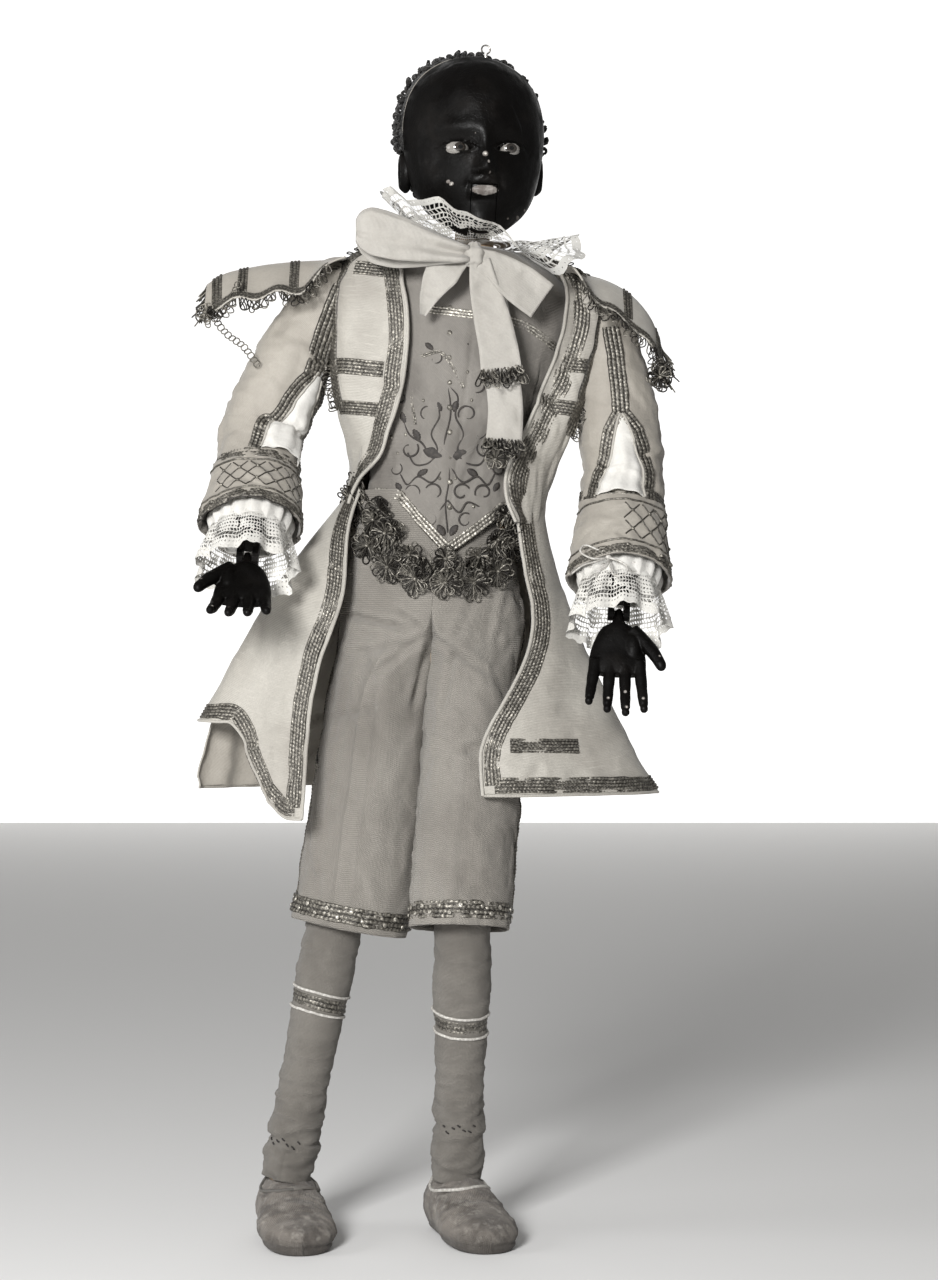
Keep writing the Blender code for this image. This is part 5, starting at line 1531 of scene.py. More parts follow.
def make_waistcoat():
    grid = panel(waistcoat_surface, 130, 110)
    cloth_piece("silk_waistcoat", grid, MATERIAL["waistcoat_silk"], "trunk",
                replaces=["waistcoat"])
    dark, bright, pale = Parts(), Parts(), Parts()
    for side in (-1, 1):
        def mirrored(line):
            line = np.asarray(line, float).copy()
            line[:, 0] = MIDDLE_X + side * line[:, 0]
            return line
        stitch(dark,
               mirrored(((0, 430), (5, 424), (4, 414), (8, 405), (5, 397), (9, 391), (16, 390), (20, 396))))
        stitch(dark, mirrored(((1, 400), (7, 393), (13, 401), (19, 405), (22, 412))))
        stitch(dark, mirrored(((2, 388), (8, 381), (15, 384), (20, 380), (24, 386))))
        stitch(dark, mirrored(((0, 372), (6, 366), (10, 371), (16, 369))))
        for centre, radius, start, sweep in (
            ((10, 415), 4.6, 200, -300), ((19, 398), 4.4, 150, 290), ((7, 376), 4.4, 30, 290),
            ((18, 376), 4.2, 200, -290), ((9, 362), 3.8, 60, 280), ((15, 430), 4.2, 250, 260),
            ((6, 443), 3.6, 100, 250), ((26, 388), 3.4, 120, 270), ((23, 424), 3.4, 40, -260),
        ):
            stitch(dark, mirrored(scroll(centre, radius, start, sweep)))
        for x, z, long, wide, tilt in (
            (7.0, 395.5, 5.2, 2.5, 20), (15.5, 405.0, 3.0, 1.5, 60), (22.0, 413.5, 2.8, 1.4, 75),
            (3.2, 357.0, 3.0, 1.5, 55), (12.5, 386.0, 2.8, 1.3, -30), (4.0, 419.0, 2.6, 1.3, 70),
            (18.5, 436.0, 2.6, 1.2, 20), (24.5, 379.0, 2.4, 1.2, 60), (9.0, 449.0, 2.4, 1.2, 40),
        ):
            leaf(dark, (MIDDLE_X + side * x, z), long * 1.15, wide * 1.35, tilt if side > 0 else 180 - tilt)
        for x, z in ((12, 422), (21, 405), (4, 383), (25, 396), (13, 369), (28, 404), (10, 436), (27, 430)):
            point, out = breast(np.array([MIDDLE_X + side * x]), np.array([float(z)]), 0.5)
            bright.ball(point[0], (0.9, 0.6, 0.9), rows=5, columns=7, relief=0.8)
    stitch(dark, ((MIDDLE_X, 432), (MIDDLE_X + 1.5, 415), (MIDDLE_X - 1.5, 400), (MIDDLE_X + 1, 385),
                  (MIDDLE_X - 1, 370), (MIDDLE_X, 356)), radius=0.5)
    # laid metal braid: the band across the breast, an arc below it, and the pointed hem
    for line, width, target, rows in (
        (((-8, 468), (10, 465.5), (30, 463), (42, 460), (58, 450)), 4.6, pale, 3),
        (((-9, 444), (0, 446), (7, 438), (12, 428)), 2.2, bright, 2),
        (((-13, 437), (-14, 425), (-12, 410)), 1.8, bright, 2),
    ):
        line = along(line, step=2.0)
        point, out = breast(line[:, 0], line[:, 1], 0.1)
        braid(target, point, out, width, rows=rows, pitch=1.7, lift=0.8)
    u = np.linspace(0.10, 0.90, 120)
    path, out, _, _ = on_surface(waistcoat_surface, u, 0.022 + 0 * u)
    braid(pale, path, out, 5.6, rows=3, pitch=2.0, lift=1.1)
    for side in (-1, 1):
        for index in range(9):
            point, out = breast(np.array([MIDDLE_X + side * 0.4 + 0.8]), np.array([468.0 - 12.4 * index]),
                                0.2)
            if side > 0:
                bright.ball(point[0], (1.5, 0.9, 1.5), rows=6, columns=10, relief=0.75)
    piece("embroidery", dark, MATERIAL["dark_thread"], "trunk")
    piece("waistcoat_buttons", bright, MATERIAL["braid"], "trunk")
    piece("waistcoat_braid", pale, MATERIAL["pale_braid"], "trunk")
    make_waist_fringe()


def make_waist_fringe():
    """Clumps of looped metal thread that hang from the waistcoat's pointed hem."""
    threads = Parts()
    spots = ((-41, 366), (-36, 350), (-26, 339), (-12, 333), (3, 331), (17, 331), (29, 337), (36, 350),
             (-27, 356), (-15, 345), (19, 344), (29, 353), (-33, 363), (3, 343), (38, 363), (-45, 374),
             (-41, 381), (-38, 372), (-30, 368), (-24, 358), (33, 365))
    for index, (x, z) in enumerate(spots):
        point, out = breast(np.array([float(x)]), np.array([float(z)]), 2.5)
        aim = unit(out[0] + np.array((0, -0.2, -0.45)))
        rosette(threads, point[0], aim, 8.8 if index < 8 else 7.6, 20, seed=60 + index, thread=0.40)
    line = along(((-43, 372), (-30, 358), (-14, 347), (3, 340), (18, 344), (30, 354), (40, 366)), step=2.0)
    point, out = breast(line[:, 0], line[:, 1], 1.5)
    down = np.tile((0.0, -0.15, -1.0), (len(line), 1))
    loops(threads, point, out, down, 11.0, 1.5, 0.4, seed=77, puff=2.5)
    piece("waist_fringe", threads, MATERIAL["braid"], "trunk")


# ---------------------------------------------------------------- collar and ribbon

COLLAR_AT = (float(HEAD[0, 3]), float(HEAD[1, 3]))


# round the collar from behind the right shoulder: angle, height and reach of the free edge
COLLAR_EDGE = ((-190, 530, 45), (-165, 530, 46), (-135, 524, 44), (-110, 519, 43), (-92, 515, 43),
               (-74, 504, 50), (-56, 486, 62), (-28, 492, 60), (-5, 505, 55), (45, 504, 44), (90, 510, 39),
               (135, 522, 41), (170, 530, 45), (200, 530, 45))


def make_collar():
    """Lace gathered on a band: it stands up on the right, and falls over the ribbon on the left."""
    columns, rows = 112, 13
    share = np.linspace(0, 1, rows)[:, None]
    # every other row is moved on by half a mesh, as in a plaited ground
    stagger = 0.5 * (np.arange(rows) % 2)[:, None]
    turn = (np.arange(columns)[None] + stagger) * TAU / columns
    degrees = (np.degrees(turn) + 180) % 360 - 180
    edge, reach = np.moveaxis(table(COLLAR_EDGE, degrees), -1, 0)
    ruffle = np.sin(turn * 9 + 0.6) * 2.2 + np.sin(turn * 19 + 1.0) * 0.9
    scallop = 1.6 * np.abs(np.sin(turn * 14)) * smooth(share, 0.8, 1)
    radius = 12.5 + (reach - 12.5) * share + 1.2 * share * np.sin(turn * 11) + scallop
    dome = 4.0 * bump(degrees + 45, 35) * np.sin(share * math.pi)
    z = 502.6 + (edge - 502.6) * share ** 1.5 + ruffle * share ** 1.2 + dome
    grid = np.stack([COLLAR_AT[0] + radius * np.cos(turn), COLLAR_AT[1] + radius * np.sin(turn), z], -1)
    lace_piece("collar_lace", grid, 5, "trunk", replaces=["lace_collar"], wrap=True,
               border=2)


def ribbon_strip(points, widths, facing, columns=12, curl=0.0, seed=1):
    """A ribbon along a path, as a grid; facing is the direction its face looks in."""
    rows = along(np.column_stack([points, widths]), count=44)
    path, width = rows[:, :3], rows[:, 3]
    tangent = unit(np.gradient(path, axis=0))
    across = unit(np.cross(np.broadcast_to(facing, path.shape), tangent))
    out = np.cross(tangent, across)
    share = np.linspace(-0.5, 0.5, columns)
    lift = curl * (share ** 2 * 4) + 0 * share
    grid = path[:, None] + across[:, None] * (share[None] * width[:, None])[..., None]
    grid = grid + out[:, None] * lift[None, :, None]
    return grid + out[:, None] * (0.7 * waves(grid, 16, seed))[..., None]


def make_ribbon():
    """A silk bow under the lace, with a puffed loop, a flat end and two fringed tails."""
    silk = MATERIAL["ribbon_silk"]
    facing = np.array((0, -1.0, 0.12))
    tail_points = ((20, -48, 490), (22, -46.5, 478), (26, -44.5, 462), (29.5, -42.5, 446), (31, -41.5, 434))
    under_points = ((24, -43, 488), (28, -42, 462), (31, -40, 436), (33, -37, 416), (32, -35.5, 399))
    pieces = {
        "ribbon_tail": (tail_points, (10, 14, 18, 19.5, 20.5), 0.4, "hung"),
        "ribbon_under_tail": (under_points, (9, 15, 17, 17.5, 18), -0.3, "hung"),
        "ribbon_end": (((17, -47, 492), (29, -46, 486), (40, -44, 478), (51, -41.5, 470)), (8, 15, 20, 20),
                       0.8, "hung"),
        "ribbon_lapel": (((12, -45, 492), (2, -46, 484), (-4, -44, 474), (-8, -42.5, 463)), (9, 17, 11, 3),
                         0.3, "hung"),
    }
    made = {}
    for name, (points, widths, curl, held) in pieces.items():
        grid = ribbon_strip(points, widths, facing, curl=curl, seed=len(name))
        made[name] = grid
        cloth_piece(name, grid, silk, "trunk", thickness=0.5)
    # the loop: out from the knot to the right shoulder and back behind itself
    share = np.linspace(0, 1, 70)[:, None]
    across = np.linspace(-0.5, 0.5, 16)[None]
    reach = np.sin(share * math.pi) ** 0.75
    x = 15 - 56 * reach + 0 * across
    depth = -49.5 - 5.0 * np.sin(share * TAU) * smooth(reach, 0.0, 0.4) + 2.0 * reach
    width = table(((0, 8), (0.25, 14), (0.5, 21), (0.75, 25), (0.9, 23), (0.97, 17), (1, 11)), reach)
    z = 492.5 + 12.0 * reach ** 1.15 + across * width - 3.0 * np.sin(share * math.tau) * across
    pinch = np.cos(across * math.pi * 3) * 1.6 * (1 - smooth(reach, 0.1, 0.75))
    y = depth + pinch + 0.8 * waves(np.stack([x, 0 * x, z], -1), 17, 71)
    y = y + 1.5 * bump(across + 0.12, 0.07) * reach
    loop = np.stack([x, y + 0 * x, z], -1)
    cloth_piece("ribbon_loop", loop, silk, "trunk", thickness=0.5)
    knot = Parts()
    rows, columns = 22, 36
    up = np.linspace(-math.pi / 2 + 0.02, math.pi / 2 - 0.02, rows)[:, None]
    turn = (np.arange(columns) * TAU / columns)[None]
    puff = 1 + 0.10 * np.sin(up * 7 + np.sin(turn) * 1.5) + 0.05 * np.sin(turn * 5)
    ball = np.stack([np.cos(up) * np.cos(turn) * 5.0, np.cos(up) * np.sin(turn) * 3.6,
                     np.sin(up) * 6.4 + 0 * turn], -1)
    knot.grid(ball * puff[..., None] + np.array((17.5, -47, 492)), wrap=True, flip=True)
    piece("ribbon_knot", knot, silk, "trunk", replaces=["neck_ribbon"])
    threads = Parts()
    for name, length, seed in (("ribbon_tail", 9.0, 81), ("ribbon_under_tail", 8.0, 82)):
        edge = made[name][-1]
        out = np.tile((0, -1.0, 0), (len(edge), 1))
        down = np.tile((0, -0.1, -1.0), (len(edge), 1))
        loops(threads, edge + np.array((0, -0.4, 2.0)), out, down, length, 1.3, 0.4, seed=seed, puff=2.2)
        loops(threads, edge + np.array((0, -1.0, 3.0)), out, down, length * 0.8, 1.7, 0.4, seed=seed + 5,
              puff=3.0)
    edge = made["ribbon_under_tail"][-1]
    rosette(threads, edge[3] + np.array((0, -1, -7)), (0, -1, -0.3), 6.0, 12, 85)
    piece("ribbon_fringe", threads, MATERIAL["braid"], "trunk")


# ---------------------------------------------------------------- sleeves and cuffs

class Sleeve:
    """A coat sleeve from the shoulder, round the elbow, into the cuff."""

    def __init__(self, side):
        self.side = side
        s = SIGN[side]
        upper = [(-2.0 * s, 0, 13, 9.5), (0.5 * s, 0, 6, 14.5), (2.5 * s, 0, -12, 16.5),
                 (3.5 * s, 0, -40, 19.3), (3.0 * s, 0, -62, 20.5), (1.5 * s, 0, -80, 20.6)]
        lower = [(0, 0, -14, 20.0), (0, 0, -30, 19.2)]
        rows = [(*put(UPPER_ARM[side], row[:3]), row[3]) for row in upper]
        rows += [(*put(FOREARM[side], row[:3]), row[3]) for row in lower]
        self.line = along(rows, count=90)
        self.share = np.linspace(0, 1, 90)
        up = -unit(np.gradient(self.line[:, :3], axis=0))
        self.across = unit(X_AXIS - (up @ X_AXIS)[:, None] * up)
        self.back = np.cross(up, self.across)

    def at(self, degrees, v, proud=0.0):
        """A point at an angle from straight ahead towards +X, and its outward direction."""
        degrees, v = np.broadcast_arrays(np.asarray(degrees, float), np.asarray(v, float))
        take = lambda table_: np.stack([np.interp(v, self.share, table_[:, i]) for i in range(3)], -1)
        radius = np.interp(v, self.share, self.line[:, 3])
        angle = np.radians(degrees)
        out = np.sin(angle)[..., None] * take(self.across) - np.cos(angle)[..., None] * take(self.back)
        flat = take(self.line) + out * radius[..., None]
        seed = 91 if self.side == "left" else 92
        crease = 1.1 * waves(flat * np.array((0.6, 0.6, 1.0)), 17, seed) * smooth(v, 0.1, 0.3)
        tucks = 0.9 * np.sin(v * 46 + np.sin(angle) * 2.4)
        crease = crease + tucks * bump(v - 0.72, 0.13) * (1 - np.cos(angle)) * 0.6
        return flat + out * (crease + proud)[..., None], out


SLITS = {
    # the opening's middle angle at its point and at the cuff, and its half width at the cuff
    "right": (52.0, 46.0, 36.0),
    "left": (2.0, -2.0, 34.0),
}


def make_sleeve(side):
    sleeve = Sleeve(side)
    body = f"{side}_upper_arm"
    elbow_bend = (body, f"{side}_forearm", put(UPPER_ARM[side], (0, 0, -70)), put(FOREARM[side], (0, 0, -22)))
    degrees, v = np.meshgrid(np.arange(96) * 360 / 96 - 180, np.linspace(0, 1, 84))
    grid, _ = sleeve.at(degrees, v)
    cloth_piece(f"{side}_silk_sleeve", grid, MATERIAL["coat_silk"], None,
                replaces=[f"{side}_sleeve"], wrap=True, blend=elbow_bend,
                lining=MATERIAL["lining_silk"])
    top_angle, low_angle, half = SLITS[side]
    high, low = (0.40, 0.93) if side == "right" else (0.50, 0.90)

    def leaf_place(p, q):
        middle = top_angle + (low_angle - top_angle) * q
        wide = half * np.clip(q, 0, 1) ** 0.72
        return middle + p * wide, high + (low - high) * q

    q, p = np.meshgrid(np.linspace(0.02, 1, 50), np.linspace(-1, 1, 30), indexing="ij")
    degrees, v = leaf_place(p, q)
    swell = 1.0 + 3.4 * (1 - p ** 2) * smooth(q, 0.0, 0.5) + 0.5 * np.sin(p * 9 + q * 3) * smooth(q, 0.2, 0.8)
    puff, _ = sleeve.at(degrees, v, swell)
    cloth_piece(f"{side}_shirt_puff", puff, MATERIAL["shirt_linen"], None,
                thickness=0.5, blend=elbow_bend)
    trims, pipes = Parts(), Parts()
    q = np.linspace(0.0, 1.0, 40)
    for edge in (-1, 1):
        degrees, v = leaf_place(edge * 1.0, q)
        degrees = degrees + edge * (4.0 + 7.0 * smooth(q, 0, 0.2))
        path, out = sleeve.at(degrees, v, 0.7)
        braid(trims, path, out, 6.6, rows=3)
        degrees, v = leaf_place(edge * 1.0, q)
        path, out = sleeve.at(degrees + edge * 1.0, v, 0.7)
        piping(pipes, path, out, 0.8)
    if side == "right":
        v = np.linspace(0.10, 0.46, 30)
        path, out = sleeve.at(np.linspace(12, 38, 30), v, 0.7)
        braid(trims, path, out, 10.0, rows=4)
        path, out = sleeve.at(np.linspace(30, 62, 30), v, 0.7)
        braid(trims, path, out, 5.0, rows=2)
    else:
        v = np.linspace(0.16, 0.50, 30)
        path, out = sleeve.at(np.linspace(14, top_angle, 30), v, 0.7)
        braid(trims, path, out, 9.0, rows=4)
    v = np.linspace(0.10, 0.9, 40)
    path, out = sleeve.at(180 + 0 * v, v, 0.6)
    braid(trims, path, out, 4.5, rows=2)
    piece(f"{side}_sleeve_braid", trims, MATERIAL["braid"], blend=elbow_bend)
    piece(f"{side}_sleeve_piping", pipes, MATERIAL["coat_silk"], blend=elbow_bend)
    make_cuff(side)


CUFF_TOP = {"right": -17.0, "left": -7.0}


def make_cuff(side):
    """The turned-back cuff with braid edges and a lattice, then gathered linen and lace below it."""
    place = FOREARM[side]
    body = f"{side}_forearm"

    def surface(u, v):
        u, v = np.broadcast_arrays(np.asarray(u, float), np.asarray(v, float))
        angle = TAU * u - math.pi
        z = CUFF_TOP[side] + (-56.5 - CUFF_TOP[side]) * v - 5.0 * np.cos(angle) * (1 - v)
        z = z + 1.2 * np.sin(angle * 3 + 1) * v
        radius = 20.6 + 5.4 * v + 0.8 * np.sin(angle * 2 + 0.5) * v
        local = np.stack([radius * np.sin(angle), -0.93 * radius * np.cos(angle), z], -1)
        wrinkle = 0.9 * waves(local, 20, 101 if side == "left" else 102)
        return put(place, local + unit(local * np.array((1, 1, 0))) * wrinkle[..., None])

    u, v = np.meshgrid(np.arange(100) / 100, np.linspace(0, 1, 44))
    cloth_piece(f"{side}_silk_cuff", surface(u, v), MATERIAL["cuff_silk"], body,
                replaces=[f"{side}_cuff"], wrap=True,
                lining=MATERIAL["lining_silk"], thickness=1.1)
    trims, cords = Parts(), Parts()
    u = np.linspace(0, 1, 90)
    for v, width in ((0.07, 6.4), (0.93, 6.0)):
        path, out, _, _ = on_surface(surface, u, v + 0 * u)
        braid(trims, path, -out, width, rows=3)
    for v in (0.22, 0.80):
        path, out, _, _ = on_surface(surface, u, v + 0 * u)
        cords.tube(path - out * 0.7, 0.55, sides=5, relief=0.6)
    # lattice of couched cord with a small knot at each crossing
    step = 0.062
    low_u, high_u = (0.50, 0.80) if side == "left" else (0.36, 0.70)
    count = int((high_u - low_u) / step)
    for index in range(-2, count + 3):
        for lean in (-1, 1):
            q = np.linspace(0.27, 0.75, 16)
            middle = low_u + step * index
            line_u = middle + lean * (q - 0.5) * step * 4.0
            inside = (line_u > low_u) & (line_u < high_u)
            if inside.sum() < 4:
                continue
            path, out, _, _ = on_surface(surface, line_u[inside], q[inside])
            cords.tube(path - out * 0.6, 0.42, sides=5, relief=0.45)
    for index in range(count + 1):
        for q in (0.38, 0.63):
            path, out, _, _ = on_surface(surface, np.array([low_u + step * (index + 0.5)]), np.array([q]))
            cords.ball(path[0] - out[0] * 0.8, (0.95, 0.95, 0.95), rows=5, columns=7, relief=0.8)
    piece(f"{side}_cuff_braid", trims, MATERIAL["braid"], body)
    piece(f"{side}_cuff_lattice", cords, MATERIAL["braid"], body)

    turn = (np.arange(90) * TAU / 90)[None]
    share = np.linspace(0, 1, 14)[:, None]
    gather = 1 + 0.045 * np.sin(turn * 17) + 0.02 * np.sin(turn * 31 + 1)
    radius = (18.5 + 2.2 * np.sin(share * math.pi)) * gather
    z = -47 - 15 * share + 0 * turn
    band = np.stack([radius * np.sin(turn), -0.92 * radius * np.cos(turn), z], -1)
    cloth_piece(f"{side}_shirt_band", put(place, band), MATERIAL["shirt_linen"], body,
                wrap=True, thickness=0.5)
    columns, rows = 96, 12
    share = np.linspace(0, 1, rows)[:, None]
    stagger = 0.5 * (np.arange(rows) % 2)[:, None]
    turn = (np.arange(columns)[None] + stagger) * TAU / columns
    ruffle = np.sin(turn * 9 + 0.4) * 2.4 + np.sin(turn * 17 + 2) * 0.9
    radius = 19.0 + 5.6 * share + ruffle * share ** 1.1
    scallop = 1.8 * np.abs(np.sin(turn * 12)) * smooth(share, 0.75, 1)
    z = -56 - 27.0 * share - scallop + 1.5 * np.sin(turn * 4 + 1) * share
    frill = np.stack([radius * np.sin(turn), -0.92 * radius * np.cos(turn), z + 0 * turn], -1)
    lace_piece(f"{side}_lace_frill", put(place, frill), 6, body, replaces=[f"{side}_lace_cuff"], wrap=True,
               border=3)
    if side == "left":
        make_drawstring(place, body)


def make_drawstring(place, body):
    """The thin white cord that draws the shirt's wristband together, tied in a bow in front."""
    cord = Parts()
    knot = np.array((-7.0, -22.5, -57.0))
    plane = ((1, 0, 0), (0, -0.35, -1))
    right, down = unit(plane[0]), unit(plane[1])
    lines = (
        ((0, 0), (-6, -5), (-12, -7), (-14, -2), (-9, 2), (0, 0.5)),
        ((0, 0), (5, 3), (9, 8), (8, 14), (3, 15), (1, 9), (0, 1)),
        ((0, 0), (-6, 5), (-13, 9), (-18, 14)),
        ((0, 0), (-1, 8), (-5, 14), (-6, 19), (-3, 21)),
    )
    for line in lines:
        line = np.asarray(line, float)
        bow = np.sin(np.linspace(0, math.pi, len(line)))[:, None] * np.array((0, -2.0, 0))
        path = knot + line[:, :1] * right + line[:, 1:] * down + bow
        cord.tube(put(place, along(path, step=0.9)), 0.5, sides=6, relief=0.7)
    cord.ball(knot, (1.7, 1.3, 1.5), place, relief=0.7)
    turn = np.linspace(0, TAU, 70)
    ring = np.stack([19.6 * np.sin(turn), -18.2 * np.cos(turn), -56.5 + 0.8 * np.sin(turn * 3)], -1)
    cord.tube(put(place, ring), 0.5, sides=6, relief=0.7)
    piece("drawstring", cord, MATERIAL["white_thread"], body)


# ---------------------------------------------------------------- breeches

LEGS = {
    # down the thigh: height, half width, half depth, shift across
    "right": ((-143, 28.6, 24, 8.2), (-128, 29.4, 24.6, 7.8), (-110, 29.2, 24.7, 6.8), (-75, 28.4, 24.7, 5),
              (-45, 26.5, 24.4, 2.6), (-20, 25.5, 24, 1.2), (10, 24, 23, 0)),
    "left": ((-143, 24.4, 23, -1.6), (-128, 25.2, 23.6, -1.2), (-110, 25.4, 24, -0.6), (-75, 25.0, 24.6, 1.4),
             (-45, 23.8, 24.4, 1.2), (-20, 22.4, 24, 1), (10, 21, 23, 1)),
}
SEAT = ((-40, 46.5, 29), (-20, 48, 29), (0, 48, 29), (20, 46, 27.5), (40, 43.0, 25.0), (50, 40.5, 23.9),
        (60, 38.9, 23.2), (84, 38.4, 23.6))
CREASES = (
    # from, to, depth and width, in the front view
    ((-47, 315), (-18, 308), 1.7, 3.2), ((-22, 318), (-9, 309), 1.3, 2.4), ((17, 324), (9, 304), 1.5, 2.6),
    ((31, 326), (26, 300), -1.3, 2.4), ((-44, 296), (-12, 300), 1.1, 3.6), ((-6, 300), (-13, 270), 1.4, 3.0),
    ((8, 296), (2, 268), 1.2, 3.0), ((-58, 262), (-30, 268), 0.9, 4.0), ((10, 246), (34, 252), 0.9, 4.0),
    ((-8, 304), (-34, 284), 1.2, 3.2), ((-2, 303), (22, 286), 1.1, 3.2),
)


def crease_depth(x, z):
    depth = np.zeros(np.shape(x))
    for start, end, deep, wide in CREASES:
        start, end = np.array(start, float), np.array(end, float)
        way = end - start
        share = np.clip(((x - start[0]) * way[0] + (z - start[1]) * way[1]) / (way @ way), -0.2, 1.2)
        off = np.hypot(x - start[0] - share * way[0], z - start[1] - share * way[1])
        fade = smooth(share, -0.2, 0.15) * (1 - smooth(share, 0.85, 1.2))
        depth += fade * deep * (bump(off, wide * 0.6) - 0.5 * bump(off - wide * 1.1, wide * 0.7))
    return depth


def leg_surface(side):
    sign = SIGN[side]

    def surface(u, v):
        """u goes round from straight ahead; v from the waist (0) to the knee (1)."""
        u, v = np.broadcast_arrays(np.asarray(u, float), np.asarray(v, float))
        angle = TAU * u
        z = 80 - 223 * v
        wide, deep = np.moveaxis(table(SEAT, z), -1, 0)
        around = np.sin(angle)
        seat_x = 2 + wide * np.where(sign * around > 0, around, 0.05 * around)
        seat = put(PELVIS, np.stack([seat_x, -deep * np.cos(angle), z], -1))
        wide, deep, shift = np.moveaxis(table(LEGS[side], z), -1, 0)
        leg = put(THIGH[side], np.stack([shift + wide * np.sin(angle), -deep * np.cos(angle), z], -1))
        share = smooth(-z, -22, 26)[..., None]
        point = seat * (1 - share) + leg * share
        centre_x = np.where(share[..., 0] < 0.5, 2 + sign * 22, (put(THIGH[side], (0, 0, 0)))[0])
        out = unit(np.stack([point[..., 0] - centre_x, point[..., 1] * 1.4, 0 * z], -1))
        inner = smooth(sign * around, -0.6, -0.1)
        fold = 1.1 * waves(point * np.array((1, 1, 0.8)), 24, 111 if side == "left" else 112)
        fold = fold * smooth(v, 0.05, 0.25) * np.maximum(inner, share[..., 0])
        front = smooth(-point[..., 1], 2, 16)
        fold = fold - crease_depth(point[..., 0], point[..., 2]) * front * 1.3
        fold = fold + 0.9 * smooth(v, 0.93, 1.0)
        return point + out * fold[..., None]
    return surface


def make_breeches(side):
    sign = SIGN[side]
    surface = leg_surface(side)
    thigh = THIGH[side]
    hip_bend = ("trunk", f"{side}_thigh", put(PELVIS, (sign * 21, 0, 10)), put(thigh, (0, 0, -34)))
    u, v = np.meshgrid(np.arange(110) / 110, np.linspace(0, 1, 150))
    replaced = [f"{side}_breeches_leg"] + (["breeches_seat"] if side == "right" else [])
    cloth_piece(f"{side}_ribbed_breeches", surface(u, v), MATERIAL["ribbed_cloth"], None,
                replaces=replaced, wrap=True, blend=hip_bend, thickness=0.9)
    trims, spangles, seams = Parts(), Parts(), Parts()
    u = np.linspace(0, 1, 100)
    path, out, _, _ = on_surface(surface, u, 0.966 + 0 * u)
    braid(trims, path, -out, 9.6, rows=4, pitch=2.4, lift=1.1)
    draw = np.random.default_rng(120)
    count = 30
    for index in range(count):
        share = index / count
        point, out, _, _ = on_surface(surface, np.array([share]),
                                      np.array([0.966 + 0.008 * (index % 2 * 2 - 1)]))
        out = -out[0]
        first = unit(np.cross(out, Z_AXIS))
        second = np.cross(out, first)
        turn = np.arange(9) * TAU / 9
        size = draw.uniform(1.0, 1.4)
        rings = []
        for scale, lift in ((0.15, 1.75), (0.6, 1.6), (1.0, 1.45), (0.95, 1.1)):
            circle = np.cos(turn)[:, None] * first + np.sin(turn)[:, None] * second
            ring = point[0] + out * lift + scale * size * circle
            rings.append(ring)
        spangles.grid(np.stack(rings), wrap=True, relief=np.full((4, 9), 0.95))
    v = np.linspace(0.30, 0.95, 60)
    side_u = 0.25 if sign > 0 else 0.75
    path, out, _, _ = on_surface(surface, side_u + 0 * v, v)
    braid(trims, path, -out, 4.2, rows=2)
    for share in (0.5,):
        path, out, _, _ = on_surface(surface, share + 0 * v, v)
        seams.tube(path - out * 0.3, 0.45, sides=5)
    piece(f"{side}_knee_band", trims, MATERIAL["braid"], f"{side}_thigh")
    piece(f"{side}_spangles", spangles, MATERIAL["pale_braid"], f"{side}_thigh")
    piece(f"{side}_leg_seam", seams, MATERIAL["ribbed_cloth"], f"{side}_thigh")


# ---------------------------------------------------------------- stockings and shoes

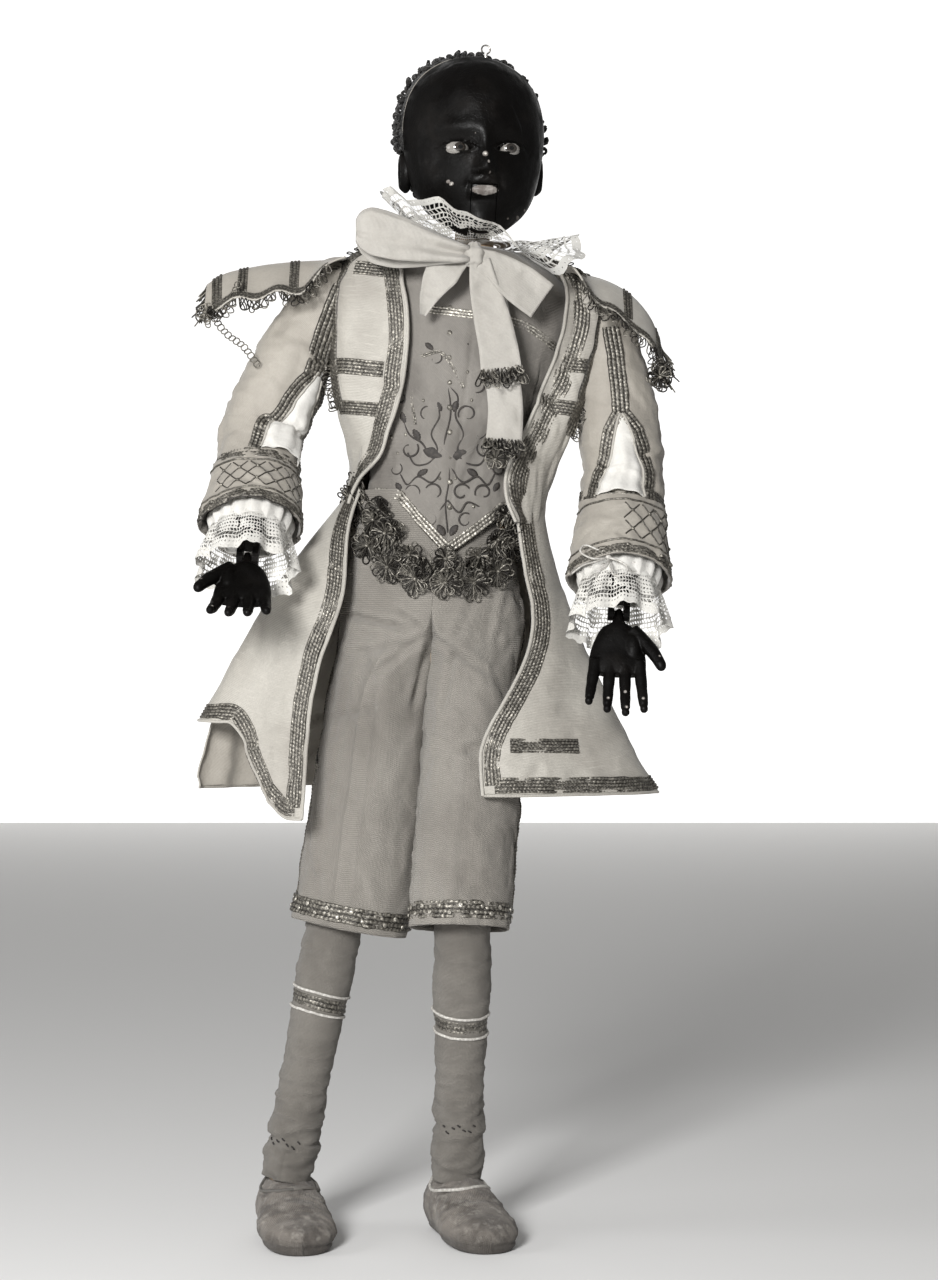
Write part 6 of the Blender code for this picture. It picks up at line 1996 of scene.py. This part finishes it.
def make_stocking(side):
    shin = SHIN[side]
    rows = ((8, 13.8, 14.2), (-15, 13.9, 14.4), (-50, 14.0, 15.0), (-76, 12.8, 13.8), (-98, 12.1, 12.9),
            (-116, 12.4, 13.2), (-130, 12.9, 13.5), (-141, 13.0, 13.6), (-156, 11.0, 11.6))

    def surface(u, v):
        u, v = np.broadcast_arrays(np.asarray(u, float), np.asarray(v, float))
        angle = TAU * u
        z = 2 - STOCKING_LONG * v
        wide, deep = np.moveaxis(table(rows[::-1], z), -1, 0)
        local = np.stack([wide * np.sin(angle), -deep * np.cos(angle), z], -1)
        seed = 131 if side == "left" else 132
        crumple = smooth(v, 0.55, 0.9)
        wrinkle = (0.45 + 0.9 * crumple) * waves(local * np.array((0.45, 0.45, 1.6)), 15, seed)
        wrinkle = wrinkle + 0.45 * waves(local, 30, seed + 5)
        garter = bump(z + GARTERS[side], 7.0)
        wrinkle = wrinkle * (1 - 0.7 * garter) - 0.7 * bump(z + GARTERS[side], 4.6)
        return put(shin, local + unit(local * np.array((1, 1, 0))) * wrinkle[..., None])

    u, v = np.meshgrid(np.arange(72) / 72, np.linspace(0, 1, 130))
    cloth_piece(f"{side}_knit_stocking", surface(u, v), MATERIAL["stocking_knit"],
                f"{side}_lower_leg", replaces=[f"{side}_stocking"],
                wrap=True, thickness=0.8)
    trims, pale, dark = Parts(), Parts(), Parts()
    u = np.linspace(0, 1, 70)
    middle = (GARTERS[side] + 2) / STOCKING_LONG
    path, out, _, _ = on_surface(surface, u, middle + 0.006 * np.sin(u * TAU))
    braid(trims, path, -out, 7.2, rows=3, pitch=1.9, lift=0.9)
    for offset in (-0.034, 0.034):
        path, out, _, _ = on_surface(surface, u, middle + offset + 0.006 * np.sin(u * TAU))
        pale.tube(path - out * 0.8, 0.75, sides=6, relief=0.7)
    level = 0.80 if side == "left" else 0.87
    for index in range(7):
        start = (-0.13 + 0.034 * index + (0.02 if side == "left" else -0.04)) % 1.0
        share = np.linspace(0, 1, 6)
        path, out, _, _ = on_surface(surface, start + 0.018 * share,
                                     level + 0.012 * np.sin(index * 1.7) + 0.006 * share)
        dark.tube(path - out * (0.5 + 0.4 * np.sin(share * math.pi))[:, None], 0.42, sides=5, relief=0.3)
    v = np.linspace(0.02, 0.97, 60)
    path, out, _, _ = on_surface(surface, 0.5 + 0 * v, v)
    pale.tube(path - out * 0.45, 0.45, sides=5, relief=0.2)
    body = f"{side}_lower_leg"
    piece(f"{side}_garter", trims, MATERIAL["braid"], body)
    piece(f"{side}_garter_edge", pale, MATERIAL["white_thread"], body)
    piece(f"{side}_darning", dark, MATERIAL["dark_thread"], body)


# how far below the knee each garter sits, and how long a stocking is
GARTERS = {"right": 58.0, "left": 67.0}
STOCKING_LONG = 152.0
# from heel to toe: place along the foot, half width, height, height of the widest line
SHOE = ((-59.6, 0.6, 6.0, 5.2), (-58.8, 5.5, 9.5, 5.0), (-55, 12.0, 12.8, 5.6), (-50, 15.6, 14.8, 6.2),
        (-42, 18.2, 17.4, 7.4), (-30, 19.0, 21.4, 9), (-14, 17.3, 27, 12), (2, 16.6, 31, 14),
        (10, 15.4, 30.5, 13), (15, 13.2, 26, 11), (18.4, 8.5, 17, 8), (19.6, 0.6, 9.0, 7.5))


def make_shoe(side):
    """A soft cloth shoe with a rubbed round toe, a thin sole and a corded edge at the ankle."""
    rows = along(SHOE, count=120)
    y, wide, tall, middle = rows.T[:, :, None]
    turn = (np.arange(84) * TAU / 84)[None]
    reach = np.where(np.sin(turn) > 0, tall - middle, middle + 4)
    z = np.maximum(0.0, middle + reach * np.sin(turn))
    x = wide * np.cos(turn) * (1 + 0.05 * bump(z - 1.6, 1.6))
    grid = np.stack([x, y + 0 * turn, z], -1)
    seed = 141 if side == "left" else 142
    lift = (0.8 * waves(grid, 18, seed) + 0.5 * waves(grid, 7, seed + 3)) * smooth(z, 1.5, 6)
    toe = np.array((0, -20, 8))
    grid = grid + unit(grid - toe) * lift[..., None]
    groove = 0.9 * bump(z - 3.4, 0.8)
    grid = grid - unit((grid - toe) * np.array((1, 1, 0))) * groove[..., None]
    shoe = Parts()
    shoe.grid(put(FOOT[side], grid), wrap=True)
    made = new_object(f"{side}_cloth_shoe", weld(shoe.mesh(f"{side}_cloth_shoe")), MATERIAL["shoe_cloth"])
    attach(made, f"{side}_lower_leg")
    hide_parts(f"{side}_shoe")
    cords = Parts()
    turn = np.arange(60) * TAU / 60
    ring_x = 14.6 * np.sin(turn)
    ring_y = -3.0 - 17.5 * np.cos(turn) + 1.0 * np.sin(turn * 3)
    height = np.interp(ring_y, [row[0] for row in SHOE], [row[2] for row in SHOE])
    share = np.clip(np.abs(ring_x) / np.interp(ring_y, [row[0] for row in SHOE], [row[1] for row in SHOE]),
                    0, 0.97)
    middle = np.interp(ring_y, [row[0] for row in SHOE], [row[3] for row in SHOE])
    ring_z = middle + (height - middle) * np.sqrt(1 - share ** 2) + 0.8
    ring_z = np.maximum(ring_z, 17.0)
    edge = np.stack([ring_x, ring_y, ring_z], -1)
    cords.tube(put(FOOT[side], edge), 0.95, sides=7, closed=True, relief=0.6)
    twist = edge + 0.5 * np.stack([np.sin(turn * 30), np.cos(turn * 30), np.sin(turn * 30)], -1)
    cords.tube(put(FOOT[side], twist), 0.5, sides=5, closed=True, relief=0.9)
    piece(f"{side}_shoe_cord", cords, MATERIAL["white_thread" if side == "left" else "stocking_knit"],
          f"{side}_lower_leg")


def dress_cad_nodes():
    """Gives the wood and metal of the joints their grained and worn finishes."""
    finishes = {"bare_wood": "bare_wood", "steel_wire": "steel_wire", "painted_wood": "face_paint"}
    for node in frame["nodes"].values():
        if node.hide_render:
            continue
        for slot in node.material_slots:
            for start, finish in finishes.items():
                if slot.material and slot.material.name.startswith(start):
                    slot.material = MATERIAL[finish]
                    break


make_studio()
make_head()
make_wig()
make_coat()
make_wings()
make_waistcoat()
make_collar()
make_ribbon()
for each_side in SIGN:
    make_hand(each_side)
    make_sleeve(each_side)
    make_breeches(each_side)
    make_stocking(each_side)
    make_shoe(each_side)
dress_cad_nodes()
